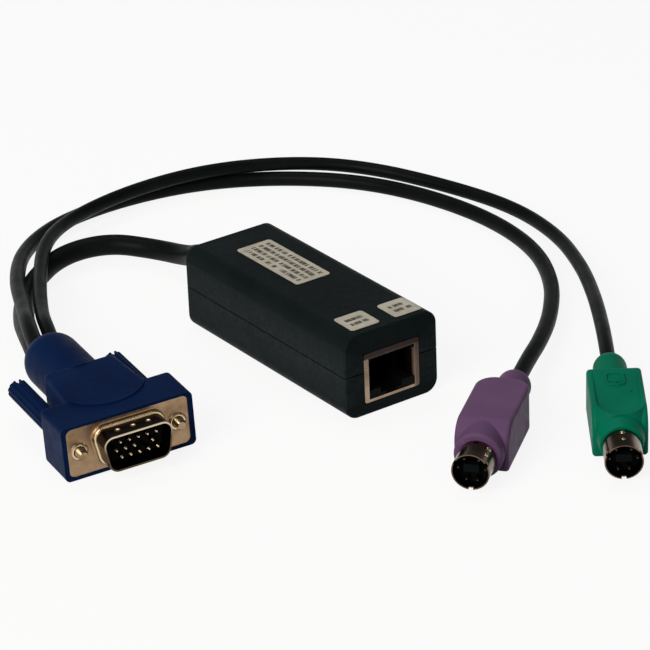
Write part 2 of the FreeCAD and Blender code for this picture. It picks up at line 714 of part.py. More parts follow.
def crystal():
    """A metal-can crystal: an upright can with round ends."""
    x, y = board_place(CRYSTAL_SHARE)
    radius = CRYSTAL_WIDTH / 2
    base = BOARD_UNDERSIDE - CRYSTAL_HEIGHT
    half = CRYSTAL_LENGTH / 2 - radius
    middle = box(CRYSTAL_WIDTH, 2 * half, CRYSTAL_HEIGHT, x, y - half, base)
    ends = [rod(radius, CRYSTAL_HEIGHT, (x, y + side * half, base), Z_AXIS) for side in (-1, 1)]
    return middle.multiFuse(ends).removeSplitter()


def capacitors():
    x, y = board_place(CAPACITOR_SHARE)
    base = BOARD_UNDERSIDE - CAPACITOR_HEIGHT
    offset = CAPACITOR_RADIUS + CAPACITOR_GAP / 2
    places = [(x + side * offset, y, base) for side in (-1, 1)]
    return group([rod(CAPACITOR_RADIUS, CAPACITOR_HEIGHT, place, Z_AXIS) for place in places])


def cable_header():
    """The socket strip at the back of the board that the trunk's wires plug into."""
    size_x, size_y, size_z = HEADER_SIZE
    return box(size_x, size_y, size_z, 0, HEADER_FRONT_Y, BOARD_UNDERSIDE - size_z)


def trunk_wires():
    """The trunk's wires, straight from the header to the inner face of the grommet."""
    start = BOARD_BACK_Y - HEADER_BACK_GAP
    length = BACK_Y - END_WALL - GROMMET_FLANGE_THICKNESS - start
    z = BOARD_UNDERSIDE - HEADER_SIZE[2] + WIRE_RISE
    first = -WIRE_PITCH * (WIRE_COUNT - 1) / 2
    places = [(first + WIRE_PITCH * index, start, z) for index in range(WIRE_COUNT)]
    return group([rod(WIRE_RADIUS, length, place) for place in places])


# ---- video plug --------------------------------------------------------------------------------
def d_outline(y, grow=0.0):
    """The D of the plug's shell in an XZ plane: its wide side up, its corners rounded."""
    half_h = D_HEIGHT / 2 + grow
    lean = math.tan(math.radians(D_SLANT))
    top_half = D_WIDTH / 2 + grow
    bottom_half = top_half - 2 * half_h * lean
    corners = [
        Vector(-top_half, y, half_h),
        Vector(top_half, y, half_h),
        Vector(bottom_half, y, -half_h),
        Vector(-bottom_half, y, -half_h),
    ]
    return rounded_polygon(corners, D_CORNER_RADIUS + grow)


def rounded_polygon(corners, radius):
    """A closed wire through corners, each rounded by an arc of the same radius."""
    edges = []
    ends = []
    count = len(corners)
    for index, corner in enumerate(corners):
        before = (corners[index - 1] - corner).normalize()
        after = (corners[(index + 1) % count] - corner).normalize()
        half = before.getAngle(after) / 2
        reach = radius / math.tan(half)
        middle = corner + (before + after).normalize() * (radius / math.sin(half))
        start = corner + before * reach
        end = corner + after * reach
        crown = middle + (corner - middle).normalize() * radius
        ends.append((start, end))
        edges.append(Part.Arc(start, crown, end).toShape())
    for index in range(count):
        edges.append(Part.LineSegment(ends[index][1], ends[(index + 1) % count][0]).toShape())
    return Part.Wire(Part.__sortEdges__(edges))


def d_block(y_start, length, grow=0.0):
    return Part.Face(d_outline(y_start, grow)).extrude(Vector(0, length, 0))


def screw_places():
    return (-SCREW_SPACING / 2, SCREW_SPACING / 2)


def video_front_shell():
    """The drawn front plate: flange, stepped D-shaped shell open at the front, and dimples on top."""
    plate = rounded_block(PLATE_WIDTH, PLATE_HEIGHT, PLATE_CORNER_RADIUS, 0, PLATE_THICKNESS)
    shape = plate.fuse(d_block(-D_STEP_RISE, D_STEP_RISE, D_STEP_GROW)).removeSplitter()
    shape = shape.makeFillet(D_ROOT_RADIUS, edges_where(shape, lambda edge: is_on_step(edge, 0)))
    shape = shape.makeFillet(D_STEP_EDGE, edges_where(shape, lambda edge: is_on_step(edge, -D_STEP_RISE)))
    shape = shape.fuse(d_block(-D_REACH, D_REACH))
    shape = shape.cut(d_block(-D_REACH, D_REACH + PLATE_THICKNESS, -D_WALL))
    for index in (-1, 0, 1):
        centre_z = D_HEIGHT / 2 + D_DIMPLE_RADIUS - D_DIMPLE_DEPTH
        dimple = Part.makeSphere(D_DIMPLE_RADIUS, Vector(index * D_DIMPLE_PITCH, -D_DIMPLE_SETBACK, centre_z))
        shape = shape.cut(dimple)
    for x in screw_places():
        shape = shape.cut(rod(PLATE_HOLE_RADIUS, PLATE_THICKNESS, (x, 0, 0)))
    return shape


def is_on_step(edge, y):
    """True for the edges of the low step round the D that lie at y."""
    bound = edge.BoundBox
    within_x = max(abs(bound.XMin), abs(bound.XMax)) < D_WIDTH / 2 + D_STEP_GROW + 0.1
    within_z = max(abs(bound.ZMin), abs(bound.ZMax)) < D_HEIGHT / 2 + D_STEP_GROW + 0.1
    return abs(edge.CenterOfMass.y - y) < 1e-3 and within_x and within_z


def video_back_shell():
    """The rear plate and cup that hold the insulator against the front plate."""
    plate = rounded_block(PLATE_WIDTH, PLATE_HEIGHT, PLATE_CORNER_RADIUS, PLATE_THICKNESS, PLATE_THICKNESS)
    shape = plate.fuse(d_block(PLATE_THICKNESS, BACK_SHELL_DEPTH, D_WALL))
    shape = shape.cut(d_block(PLATE_THICKNESS, BACK_SHELL_DEPTH, 0.0))
    for x in screw_places():
        shape = shape.cut(rod(PLATE_HOLE_RADIUS, PLATE_THICKNESS, (x, PLATE_THICKNESS, 0)))
    return shape.removeSplitter()


def video_pin_places():
    """Three rows of five, the middle row half a pitch across, with one place left empty."""
    places = []
    for row in (1, 0, -1):
        shift = VIDEO_PIN_PITCH / 4 if row else -VIDEO_PIN_PITCH / 4
        for column in range(5):
            if row == 0 and column == VIDEO_KEYED_PIN:
                continue
            places.append((shift + (column - 2) * VIDEO_PIN_PITCH, row * VIDEO_ROW_PITCH))
    return places


def video_insulator():
    """The black block that carries the pins, stepped so that its rear part fills the cup."""
    front = d_block(-INSULATOR_FACE, INSULATOR_FACE + PLATE_THICKNESS, -D_WALL)
    rear = d_block(PLATE_THICKNESS, BACK_SHELL_DEPTH, 0.0)
    shape = front.fuse(rear)
    for x, z in video_pin_places():
        start = -INSULATOR_FACE
        shape = shape.cut(rod(VIDEO_PIN_RADIUS + VIDEO_PIN_GAP, D_BACK - start, (x, start, z)))
    return shape.removeSplitter()


def video_pins():
    pins = []
    for x, z in video_pin_places():
        pins.append(contact_pin(VIDEO_PIN_RADIUS, -VIDEO_PIN_REACH, D_BACK, x, z))
    return group(pins)


def neck_outline(z):
    """The grip behind the block, seen from above, with its round front that laps onto the block."""
    half_front = NECK_FRONT_WIDTH / 2
    half_rear = NECK_REAR_WIDTH / 2
    start = HOOD_BLOCK_DEPTH
    left = Vector(-half_front, start, z)
    right = Vector(half_front, start, z)
    crown = Vector(0, GRIP_PAD_SETBACK, z)
    rear_right = Vector(half_rear, NECK_REAR, z)
    rear_left = Vector(-half_rear, NECK_REAR, z)
    return Part.Wire([
        Part.Arc(left, crown, right).toShape(),
        Part.LineSegment(right, rear_right).toShape(),
        Part.LineSegment(rear_right, rear_left).toShape(),
        Part.LineSegment(rear_left, left).toShape(),
    ])


def video_hood():
    """The moulded grip: a wide block round the plates, a narrower neck, and a round strain relief."""
    half_height = HOOD_HEIGHT / 2
    block = box(HOOD_WIDTH, HOOD_BLOCK_DEPTH + HOOD_RIM, HOOD_HEIGHT, 0, -HOOD_RIM, -half_height)
    block = block.makeFillet(
        HOOD_EDGE_RADIUS,
        edges_where(block, lambda edge: edge.CenterOfMass.y > 0),
    )
    neck = Part.Face(neck_outline(-half_height)).extrude(Vector(0, 0, HOOD_HEIGHT + GRIP_PAD_RISE))
    rear_edges = edges_where(neck, lambda edge: edge.CenterOfMass.y > HOOD_BLOCK_DEPTH + 1)
    neck = neck.makeFillet(NECK_EDGE_RADIUS, rear_edges)
    relief = rod(RELIEF_RADIUS, RELIEF_REACH - NECK_REAR + 2, (0, NECK_REAR - 2, RELIEF_AXIS_RISE))
    dome = Part.makeSphere(RELIEF_RADIUS, Vector(0, RELIEF_REACH, RELIEF_AXIS_RISE))
    width = 4 * RELIEF_RADIUS
    beyond = box(width, RELIEF_RADIUS, width, 0, RELIEF_FACE_REACH, -width / 2)
    shape = block.fuse(neck).fuse(relief.fuse(dome).cut(placed(beyond, relief_face())))
    shape = shape.cut(plate_pocket())
    for x in screw_places():
        shape = shape.cut(rod(HOOD_HOLE_RADIUS, HOOD_BLOCK_DEPTH, (x, 0, 0)))
        scallop_start = (x, HOOD_BLOCK_DEPTH, 0)
        shape = shape.cut(rod(KNOB_RADIUS + KNOB_SCALLOP_GAP, NECK_REAR, scallop_start))
    return shape.removeSplitter()


def relief_face():
    """The frame of the flat where the cords leave the strain relief; its middle is straight behind."""
    return placement_of((0, RELIEF_REACH, RELIEF_AXIS_RISE), RELIEF_FACE_TURN)


def plate_pocket():
    """The space in the hood's front that the two plates and the cup fill."""
    plates = rounded_block(
        PLATE_WIDTH + 2 * POCKET_GAP,
        PLATE_HEIGHT + 2 * POCKET_GAP,
        PLATE_CORNER_RADIUS + POCKET_GAP,
        -HOOD_RIM,
        HOOD_RIM + 2 * PLATE_THICKNESS,
    )
    cup = d_block(PLATE_THICKNESS, BACK_SHELL_DEPTH, D_WALL + POCKET_GAP)
    return plates.fuse(cup)


def jackscrew(x):
    """A steel screw: thick and threaded in front of the plate, slimmer where the knob grips it."""
    thread_end = HOOD_BLOCK_DEPTH / 2
    thread = rod(JACKSCREW_RADIUS, JACKSCREW_REACH + thread_end, (x, -JACKSCREW_REACH, 0))
    tip = edges_where(thread, lambda edge: edge.BoundBox.YMax < -JACKSCREW_REACH + 1e-3)
    thread = thread.makeChamfer(0.4, tip)
    shaft_end = HOOD_BLOCK_DEPTH + KNOB_GAP + KNOB_LENGTH / 2
    shaft = rod(JACKSCREW_SHAFT_RADIUS, shaft_end - thread_end, (x, thread_end, 0))
    return thread.fuse(shaft)


def thumb_knob(x):
    """The moulded grip of a thumbscrew: ribbed along its length, with a driver slot in its end."""
    start = HOOD_BLOCK_DEPTH + KNOB_GAP
    body = rod(KNOB_RADIUS, KNOB_LENGTH, (x, start, 0))
    rims = edges_where(body, lambda edge: edge.Curve.TypeId == "Part::GeomCircle")
    shape = body.makeChamfer(KNOB_GROOVE_RADIUS, rims)
    grooves = []
    for index in range(KNOB_GROOVES):
        angle = 2 * math.pi * index / KNOB_GROOVES
        groove_x = x + KNOB_RADIUS * math.cos(angle)
        groove_z = KNOB_RADIUS * math.sin(angle)
        grooves.append(rod(KNOB_GROOVE_RADIUS, KNOB_LENGTH, (groove_x, start, groove_z)))
    shape = shape.cut(Part.makeCompound(grooves))
    slot_start = start + KNOB_LENGTH - KNOB_SLOT_DEPTH
    shape = shape.cut(box(KNOB_SLOT_WIDTH, KNOB_SLOT_DEPTH, 2 * KNOB_RADIUS, x, slot_start, -KNOB_RADIUS))
    return shape.cut(rod(JACKSCREW_SHAFT_RADIUS + KNOB_BORE_GAP, KNOB_LENGTH / 2, (x, start, 0)))


# ---- round keyboard and mouse plugs ------------------------------------------------------------
def round_shell():
    """The plug's metal shroud, with rim notches and a square window on top."""
    shape = rod(ROUND_SHELL_RADIUS, ROUND_SHELL_LENGTH, (0, 0, 0))
    shape = shape.cut(rod(ROUND_SHELL_RADIUS - ROUND_SHELL_WALL, ROUND_SHELL_LENGTH, (0, 0, 0)))
    height = 2 * ROUND_SHELL_RADIUS
    for angle in (60, -60, 180):
        notch = box(ROUND_NOTCH_WIDTH, ROUND_NOTCH_DEPTH, height, 0, 0, 0)
        notch.rotate(Vector(0, 0, 0), Y_AXIS, angle)
        shape = shape.cut(notch)
    window = box(ROUND_WINDOW, ROUND_WINDOW, height, 0, ROUND_WINDOW_SETBACK, 0)
    return shape.cut(window)


def round_insulator():
    """The black block in the shroud, with a rectangular key standing forward of it."""
    length = ROUND_SHELL_LENGTH - ROUND_INSULATOR_SETBACK
    radius = ROUND_SHELL_RADIUS - ROUND_SHELL_WALL - ROUND_PIN_GAP
    block = rod(radius, length, (0, ROUND_INSULATOR_SETBACK, 0))
    key = box(
        ROUND_KEY_WIDTH,
        ROUND_INSULATOR_SETBACK - ROUND_KEY_SETBACK + 1,
        ROUND_KEY_HEIGHT,
        0,
        ROUND_KEY_SETBACK,
        ROUND_KEY_RISE - ROUND_KEY_HEIGHT / 2,
    )
    shape = block.fuse(key)
    for x, z in ROUND_PIN_PLACES:
        shape = shape.cut(rod(ROUND_PIN_RADIUS + ROUND_PIN_GAP, length, (x, ROUND_INSULATOR_SETBACK, z)))
    return shape.removeSplitter()


def round_pins():
    pins = []
    for x, z in ROUND_PIN_PLACES:
        pins.append(contact_pin(ROUND_PIN_RADIUS, ROUND_PIN_SETBACK, ROUND_SHELL_LENGTH, x, z))
    return group(pins)


def round_grip(rear, corner, stub_reach, collar_size, scooped):
    """The moulded grip: a block with a rounded nose, a round collar, a cord stub and a thumb scoop."""
    block = box(GRIP_WIDTH, rear - GRIP_FRONT, GRIP_TOP - GRIP_BASE, 0, GRIP_FRONT, GRIP_BASE)
    corners = edges_where(block, lambda edge: is_along(edge, Z_AXIS) and edge.CenterOfMass.y > rear - 1)
    block = block.makeFillet(corner, corners)
    nose = edges_where(block, is_nose_edge)
    block = block.makeFillet(GRIP_NOSE_RADIUS, nose)
    block = block.makeFillet(GRIP_EDGE_RADIUS, edges_where(block, is_soft_edge))
    front_radius, root_radius, length = collar_size
    collar = Part.makeCone(front_radius, root_radius, length, Vector(0, COLLAR_SETBACK, COLLAR_RISE), Y_AXIS)
    rim = edges_where(collar, lambda edge: edge.BoundBox.YMax < COLLAR_SETBACK + 1e-3)
    collar = collar.makeFillet(COLLAR_EDGE_SHARE * (front_radius - ROUND_SHELL_RADIUS), rim)
    stub = rod(STUB_RADIUS, stub_reach - rear + 1, (0, rear - 1, 0))
    dome = Part.makeSphere(STUB_RADIUS, Vector(0, stub_reach, 0))
    body = block.fuse(collar).fuse(stub.fuse(dome))
    if scooped:
        body = body.fuse(nose_crown()).cut(thumb_scoop(rear))
    return body


def is_nose_edge(edge):
    """True for the edge across the top of the grip's front face."""
    centre = edge.CenterOfMass
    return is_along(edge, X_AXIS) and centre.y < GRIP_FRONT + 0.1 and centre.z > GRIP_TOP - 0.1


def is_soft_edge(edge):
    """True for the edges that run round the grip's top and bottom, but not the nose's own."""
    if is_along(edge, Z_AXIS) and edge.CenterOfMass.y > GRIP_FRONT + 0.1:
        return False
    crosses_nose = is_along(edge, X_AXIS) and edge.CenterOfMass.y < GRIP_FRONT + GRIP_NOSE_RADIUS + 0.1
    return not crosses_nose or edge.CenterOfMass.z < GRIP_BASE + 0.1


def crown_centre():
    """Centre of the half-round front end of the scooped grip's top face."""
    return Vector(0, GRIP_FRONT + GRIP_WIDTH / 2 - CROWN_MARGIN, 0)


def nose_crown():
    """The half-round front end of the scooped grip's top, spreading downwards over the nose."""
    radius = GRIP_WIDTH / 2 - CROWN_MARGIN
    base = GRIP_TOP - CROWN_DROP
    cone = Part.makeCone(radius + CROWN_SPREAD, radius, CROWN_DROP, crown_centre() + Z_AXIS * base, Z_AXIS)
    return cone.common(box(GRIP_WIDTH - CROWN_MARGIN, GRIP_WIDTH, CROWN_DROP, 0, GRIP_FRONT, base))


def thumb_scoop(rear):
    """A recess with a half-round front end, deepest there and running out at the grip's back edge."""
    radius = GRIP_WIDTH / 2 - CROWN_MARGIN - SCOOP_RIM
    centre = crown_centre()
    length = rear - centre.y
    tool = rod(radius, GRIP_TOP, centre, Z_AXIS).fuse(box(2 * radius, length, GRIP_TOP, 0, centre.y, 0))
    tool = tool.removeSplitter()
    tool.translate(Z_AXIS * GRIP_TOP)
    slope = math.degrees(math.atan2(SCOOP_DEPTH, length + radius))
    tool.rotate(Vector(0, rear, GRIP_TOP), X_AXIS, slope)
    return tool


def round_plug(rear, corner, stub_reach, collar_size, scooped, cord_radius):
    """All pieces of one round plug, and how far back its cord leaves the flat on the stub's dome."""
    body = round_grip(rear, corner, stub_reach, collar_size, scooped)
    exit_reach = stub_reach + math.sqrt(STUB_RADIUS ** 2 - (cord_radius + STUB_FACE_MARGIN) ** 2)
    body = body.cut(box(4 * STUB_RADIUS, STUB_RADIUS, 4 * STUB_RADIUS, 0, exit_reach, -2 * STUB_RADIUS))
    body = body.cut(rod(ROUND_SHELL_RADIUS, ROUND_SHELL_LENGTH, (0, 0, 0))).removeSplitter()
    pieces = {
        "plug_body": body,
        "plug_shell": round_shell(),
        "plug_insulator": round_insulator(),
        "plug_pins": round_pins(),
    }
    return pieces, exit_reach


# ---- cords -------------------------------------------------------------------------------------
def tube(points, radius):
    """A tube along straight runs joined by tangent arcs; returns it, its length and its arc radii."""
    corners = [Vector(*point) for point in points]
    edges = []
    radii = []
    position = corners[0]
    for before, corner, after in zip(corners, corners[1:], corners[2:]):
        inward = before - corner
        outward = after - corner
        trim = CORD_ARC_SHARE * min(inward.Length, outward.Length)
        start = corner + inward.normalize() * trim
        end = corner + outward.normalize() * trim
        half_turn = (math.pi - inward.getAngle(outward)) / 2
        arc_radius = trim / math.tan(half_turn)
        middle = corner + (inward + outward).normalize() * (arc_radius / math.cos(half_turn))
        crown = middle + (corner - middle).normalize() * arc_radius
        edges.append(Part.LineSegment(position, start).toShape())
        edges.append(Part.Arc(start, crown, end).toShape())
        radii.append(arc_radius)
        position = end
    edges.append(Part.LineSegment(position, corners[-1]).toShape())
    spine = Part.Wire(edges)
    ring = Part.Wire([Part.Circle(corners[0], corners[1] - corners[0], radius).toShape()])
    return spine.makePipeShell([ring], True, False), spine.Length, radii


def cord(name, start, start_run, middle, end, end_run, diameter):
    """One cord between two faces, with its radii and its volume against section times length."""
    points = [start, start + start_run] + [Vector(*point) for point in middle] + [end + end_run, end]
    shape, length, radii = tube(points, diameter / 2)
    expected = math.pi * (diameter / 2) ** 2 * length
    ratio = shape.Volume / expected
    print("%s: length %.1f, volume ratio %.4f, valid %s" % (name, length, ratio, shape.isValid()))
    print("  radii", " ".join("%.0f" % radius for radius in radii))
    return shape


# ---- the whole object --------------------------------------------------------------------------
def build():
    nodes = {
        "housing_top": housing_top(),
        "housing_bottom": housing_bottom(),
        "housing_screw_front": housing_screw(SCREW_PLACES[0]),
        "housing_screw_rear": housing_screw(SCREW_PLACES[1]),
        "circuit_board": circuit_board(),
        "jack_shield": jack_shield(),
        "jack_insert": jack_insert(),
        "jack_contacts": jack_contacts(),
        "controller_chip": controller_chip(),
        "video_chip": video_chip(),
        "crystal": crystal(),
        "capacitors": capacitors(),
        "cable_header": cable_header(),
        "trunk_wires": trunk_wires(),
        "cable_grommet": cable_grommet(),
    }
    for name, place in LABELS.items():
        nodes[name] = label(place)

    video = placement_of(VIDEO_PLUG_PLACE, VIDEO_PLUG_TURN)
    left_x, right_x = screw_places()
    video_parts = {
        "video_hood": video_hood(),
        "video_front_shell": video_front_shell(),
        "video_back_shell": video_back_shell(),
        "video_insulator": video_insulator(),
        "video_pins": video_pins(),
        "left_jackscrew": jackscrew(left_x),
        "left_knob": thumb_knob(left_x),
        "right_jackscrew": jackscrew(right_x),
        "right_knob": thumb_knob(right_x),
    }
    for name, shape in video_parts.items():
        nodes[name] = placed(shape, video)

    relief = video.multiply(relief_face())
    relief_way = relief.Rotation.multVec(Y_AXIS)
    trunk_start = Vector(0, BACK_Y + GROMMET_REACH, SEAM_HEIGHT)
    nodes["trunk_cord"] = cord(
        "trunk_cord",
        trunk_start,
        Y_AXIS * TRUNK_STARTS[0],
        TRUNK_ROUTE,
        relief.multVec(Vector(TRUNK_EXIT[0], RELIEF_FACE_REACH, TRUNK_EXIT[1])),
        relief_way * TRUNK_STARTS[1],
        TRUNK_DIAMETER,
    )
    for branch in (KEYBOARD_BRANCH, MOUSE_BRANCH):
        name = branch["name"]
        diameter = branch["diameter"]
        plug = placement_of(*branch["place"])
        pieces, exit_reach = round_plug(*branch["grip"], diameter / 2)
        for piece, shape in pieces.items():
            nodes[name + "_" + piece] = placed(shape, plug)
        nodes[name + "_cord"] = cord(
            name + "_cord",
            relief.multVec(Vector(branch["exit"][0], RELIEF_FACE_REACH, branch["exit"][1])),
            relief_way * BRANCH_STARTS[0],
            branch["route"],
            plug.multVec(Vector(0, exit_reach, 0)),
            plug.Rotation.multVec(Y_AXIS) * BRANCH_STARTS[1],
            diameter,
        )
    return nodes


def main():
    os.makedirs("parts", exist_ok=True)
    for name, shape in build().items():
        shape.exportStep("parts/" + name + ".step")


main()
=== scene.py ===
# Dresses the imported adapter: cords, thumbscrews, marks, finishes, floor, lights and camera.
import math

import bmesh
import bpy
from mathutils import Euler, Matrix, Vector


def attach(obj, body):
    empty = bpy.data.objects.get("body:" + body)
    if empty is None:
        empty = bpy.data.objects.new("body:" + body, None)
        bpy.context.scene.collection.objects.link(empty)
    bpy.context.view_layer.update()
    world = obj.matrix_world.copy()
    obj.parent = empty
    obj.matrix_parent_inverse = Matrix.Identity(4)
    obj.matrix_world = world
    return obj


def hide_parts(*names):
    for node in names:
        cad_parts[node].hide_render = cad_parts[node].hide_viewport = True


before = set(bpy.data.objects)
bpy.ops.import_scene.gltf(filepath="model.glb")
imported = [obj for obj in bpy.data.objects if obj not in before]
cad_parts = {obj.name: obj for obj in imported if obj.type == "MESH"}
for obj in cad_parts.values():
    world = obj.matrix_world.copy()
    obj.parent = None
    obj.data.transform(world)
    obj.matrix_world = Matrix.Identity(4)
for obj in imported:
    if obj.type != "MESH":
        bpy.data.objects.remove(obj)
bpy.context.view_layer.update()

MM = 0.001
BODY = "dongle"

# ---- places that the CAD model also has, in millimetres ------------------------------------------
# Each plug's place, then its yaw, tip and roll in degrees. In a plug's own axes x goes across, y goes
# back towards its cord and z goes up; the video plug's start in the middle of its flange.
VIDEO_PLUG = ((-65.3, -19.67, 7.8), (-8.1, 0.7, -2.5))
KEYBOARD_PLUG = ((-12.45, -80.35, 5.55), (-51.3, 0.0, 0.0))
MOUSE_PLUG = ((18.0, -98.1, 5.12), (-35.2, 3.7, 0.0))

ROUND_SHELL_RADIUS = 4.5
GRIP_TOP = 6.5          # the green plug's grip, and the sloping recess in its top
GRIP_REAR = 31.8
SCOOP_FRONT = 11.2
SCOOP_DEPTH = 0.9
SCREW_OFFSET = 12.5     # each thumbscrew's axis, from the middle of the video plug

TRUNK_POINTS = [
    (0, 36.85, 11.3), (0, 47.85, 11.3), (3, 57.5, 6), (1, 71.5, 3.9), (-7.5, 81, 4.9),
    (-20.5, 83.5, 4.3), (-33, 77, 2.75), (-41.5, 67, 3.2), (-49, 55, 4.5), (-54, 44, 6.5),
    (-57.56, 35.6, 8.09), (-60.58, 27.22, 6.81),
]
KEYBOARD_POINTS = [
    (-61.56, 26.84, 11.63), (-58.21, 36.15, 13.06), (-51.5, 49.5, 10.4), (-40.5, 72.5, 7.4),
    (-27, 91.5, 4.7), (-9, 104, 3), (14, 107.5, 2.3), (36.5, 103.5, 2.1), (55.5, 92, 2.05),
    (70, 75.5, 2.3), (78.5, 55.5, 2.2), (82, 32.5, 2.1), (78.5, 10, 2.5), (68.5, -9.5, 3.2),
    (55, -25.5, 4.1), (43, -36.5, 5), (32.13, -44.63, 5.55), (24.33, -50.89, 5.55),
]
MOUSE_POINTS = [
    (-57.25, 25.42, 10.72), (-53.89, 34.73, 12.15), (-49, 45.5, 10.3), (-38.5, 64, 8.7),
    (-24, 86, 8), (-7.5, 98.5, 6.3), (15.5, 103.5, 6.2), (38.5, 101, 6.4), (60, 91.5, 5.6),
    (75.5, 79, 3.8), (86.5, 58, 2.2), (91.5, 35.5, 2.1), (88, 12.5, 2.9), (78, -9.5, 4.7),
    (67.5, -27, 6.5), (58.5, -40.5, 7.9), (49.79, -53.04, 8.69), (44.03, -61.19, 8.04),
]
TRUNK_DIAMETER = 5.4
KEYBOARD_CORD_DIAMETER = 4.0
MOUSE_CORD_DIAMETER = 3.6

# ---- where colours change, in millimetres --------------------------------------------------------
# Along the video plug's own y, from the flange forward: each pair is where a change of painted light starts
# and ends.
SHELL_ROOT = (-0.2, -0.5)
SHELL_STEP = (-1.25, -1.5)
SHELL_RIM = (-5.85, -6.0)
PIN_TIP = (-4.2, -4.7)
# Up the video plug: the rim's painted shading, dark at its foot and light towards its top, and the band just
# under the shell's top where its dents get painted highlights.
RIM_SHADE = (0.5, 4.2)
SHELL_TOP = 4.63
DENT_FADE = 0.1
DENT_DEPTH = 0.3
DENT_HALF_WIDTH = 5.7
# On the jack's frame, in the part's axes: the strip over the opening (z), which gets the painted shadow of
# the housing's edge, the strip at its right (x), which is a darker brown, and the walls inside it (y), which
# get painted shade.
JACK_TOP_STRIP = (14.4, 14.7)
JACK_RIGHT_STRIP = (6.3, 7.1)
JACK_INSIDE = (-33.7, -33.05)

# ---- thumbscrews and small raised marks, in millimetres ------------------------------------------
RING_STEPS = 40
THREAD_ROOT = 1.12
THREAD_DEPTH = 0.28
THREAD_PITCH = 0.64
THREAD_CUT = 1.25       # over 1, so that the thread's crests come out a little flat
THREAD_FRONT = -2.6
THREAD_END = 0.9
THREAD_STEP = 0.08
THREAD_RUNOUT = 0.25
CHAMFER_LENGTH = 0.6
CHAMFER_RADIUS = 0.95
CHAMFER_RISE = 0.45
SHAFT_RADIUS = 1.1
SHAFT_TAIL = 24.4
BOSS_PROFILE = (        # radius, and depth behind the flange's front
    (2.35, 0.02), (2.2, -0.1), (1.85, -0.42), (1.66, -0.5), (1.5, -0.44), (1.5, 0.6), (2.35, 0.6),
)

MARK_PLACE = (0.05, 26.5)
MARK_HALF_SIZE = (2.1, 2.5)
MARK_STEPS = 28
MARK_SQUARENESS = 0.45  # 1 is an ellipse, and towards 0 it becomes a rectangle
BUTTON_LINES = (
    ((-2.0, -0.8), (0, -0.8), (2.0, -0.8)),
    ((0.1, -0.8), (0.1, -1.6), (0.1, -2.4)),
)
TAIL_LINE = ((0.4, -2.5), (0.5, -3.4), (1.2, -4.2), (2.3, -4.6), (3.3, -5.4))
RIDGE_FOOT = -0.1       # a ridge starts under the surface that it stands on
RIDGE_SHOULDER = (0.7, 0.75)

PIPS = ((2.9, 0.5, 0.42), (5.95, 0.7, 0.82))  # setback, half width and half length
PIP_LAYERS = 5
PIP_STEPS = 16
PIP_SINK = 0.05
PIP_HEIGHT = 0.3

# ---- studio, in metres ---------------------------------------------------------------------------
WORLD_LIGHT = 0.2       # the backdrop's strength as a light
HORIZON = (0.12, 0.34)  # to reflections, the heights of a direction between which it goes dark
CEILING = 0.1           # and its strength from there up
FLOOR_REACH = 6.0
FLOOR_HEIGHT = -0.00005
FLOOR_GLOW = 0.88       # the share of the floor's look that no shadow darkens
FLOOR_WHITE = (0.9, 0.9, 0.9, 1)
FLOOR_BOUNCE = (0.3, 0.3, 0.3, 1)
CAMERA_PLACE = (-0.43597, -0.64095, 0.38304)
CAMERA_TURN = (-34.5, 25.78, -2.33)  # azimuth, elevation and roll in degrees
CAMERA_LENS = 194.78
CAMERA_SENSOR = 36
CAMERA_NEAR = 0.05


def place_matrix(place, turn):
    """The place of a plug: turned by yaw, tip and roll in degrees, then moved, in metres."""
    yaw, tip, roll = (math.radians(angle) for angle in turn)
    turned = Euler((0, 0, yaw)).to_matrix() @ Euler((tip, 0, 0)).to_matrix() @ Euler((0, roll, 0)).to_matrix()
    return Matrix.Translation(Vector(place) * MM) @ turned.to_4x4()


# ---- node trees ----------------------------------------------------------------------------------
MIX_SOCKETS = {"FLOAT": (2, 3, 0), "RGBA": (6, 7, 2)}


class Tree:
    """A node tree with short ways to add to it; a value is a plain one or another node's output."""

    def __init__(self, tree):
        self.nodes = tree.nodes
        self.links = tree.links

    def add(self, kind, **values):
        node = self.nodes.new(kind)
        for key, value in values.items():
            setattr(node, key, value)
        return node

    def link(self, source, target):
        self.links.new(source, target)

    def feed(self, value, target):
        if isinstance(value, bpy.types.NodeSocket):
            self.link(value, target)
        else:
            target.default_value = value

    def math(self, operation, first, second=None):
        node = self.add("ShaderNodeMath", operation=operation)
        self.feed(first, node.inputs[0])
        if second is not None:
            self.feed(second, node.inputs[1])
        return node.outputs[0]

    def ranged(self, source, low, high, to_low=0.0, to_high=1.0):
        node = self.add("ShaderNodeMapRange")
        for key, value in (("From Min", low), ("From Max", high), ("To Min", to_low), ("To Max", to_high)):
            node.inputs[key].default_value = value
        self.link(source, node.inputs["Value"])
        return node.outputs["Result"]

    def mixed(self, factor, first, second, kind="RGBA"):
        node = self.add("ShaderNodeMix", data_type=kind)
        low, high, result = MIX_SOCKETS[kind]
        self.link(factor, node.inputs[0])
        self.feed(first, node.inputs[low])
        self.feed(second, node.inputs[high])
        return node.outputs[result]

    def axes(self, source):
        split = self.add("ShaderNodeSeparateXYZ")
        self.link(source, split.inputs["Vector"])
        return split.outputs

    def from_rays(self, *kinds):
        """1 for rays of the given kinds, else 0."""
        path = self.add("ShaderNodeLightPath").outputs
        found = path[f"Is {kinds[0]} Ray"]
        for kind in kinds[1:]:
            found = self.math("MAXIMUM", found, path[f"Is {kind} Ray"])
        return found


# ---- finishes ------------------------------------------------------------------------------------
DRAWN_ACROSS = (1, 30, 30)
DRAWN_BACK = (30, 1, 30)
NOT_DRAWN = (1, 1, 1)


def screen(red, green, blue):
    """A colour as it looks on a screen, 0 to 255, as the shader takes it."""
    parts = []
    for part in (red, green, blue):
        part = part / 255
        parts.append(part / 12.92 if part <= 0.04045 else ((part + 0.055) / 1.055) ** 2.4)
    return (*parts, 1.0)


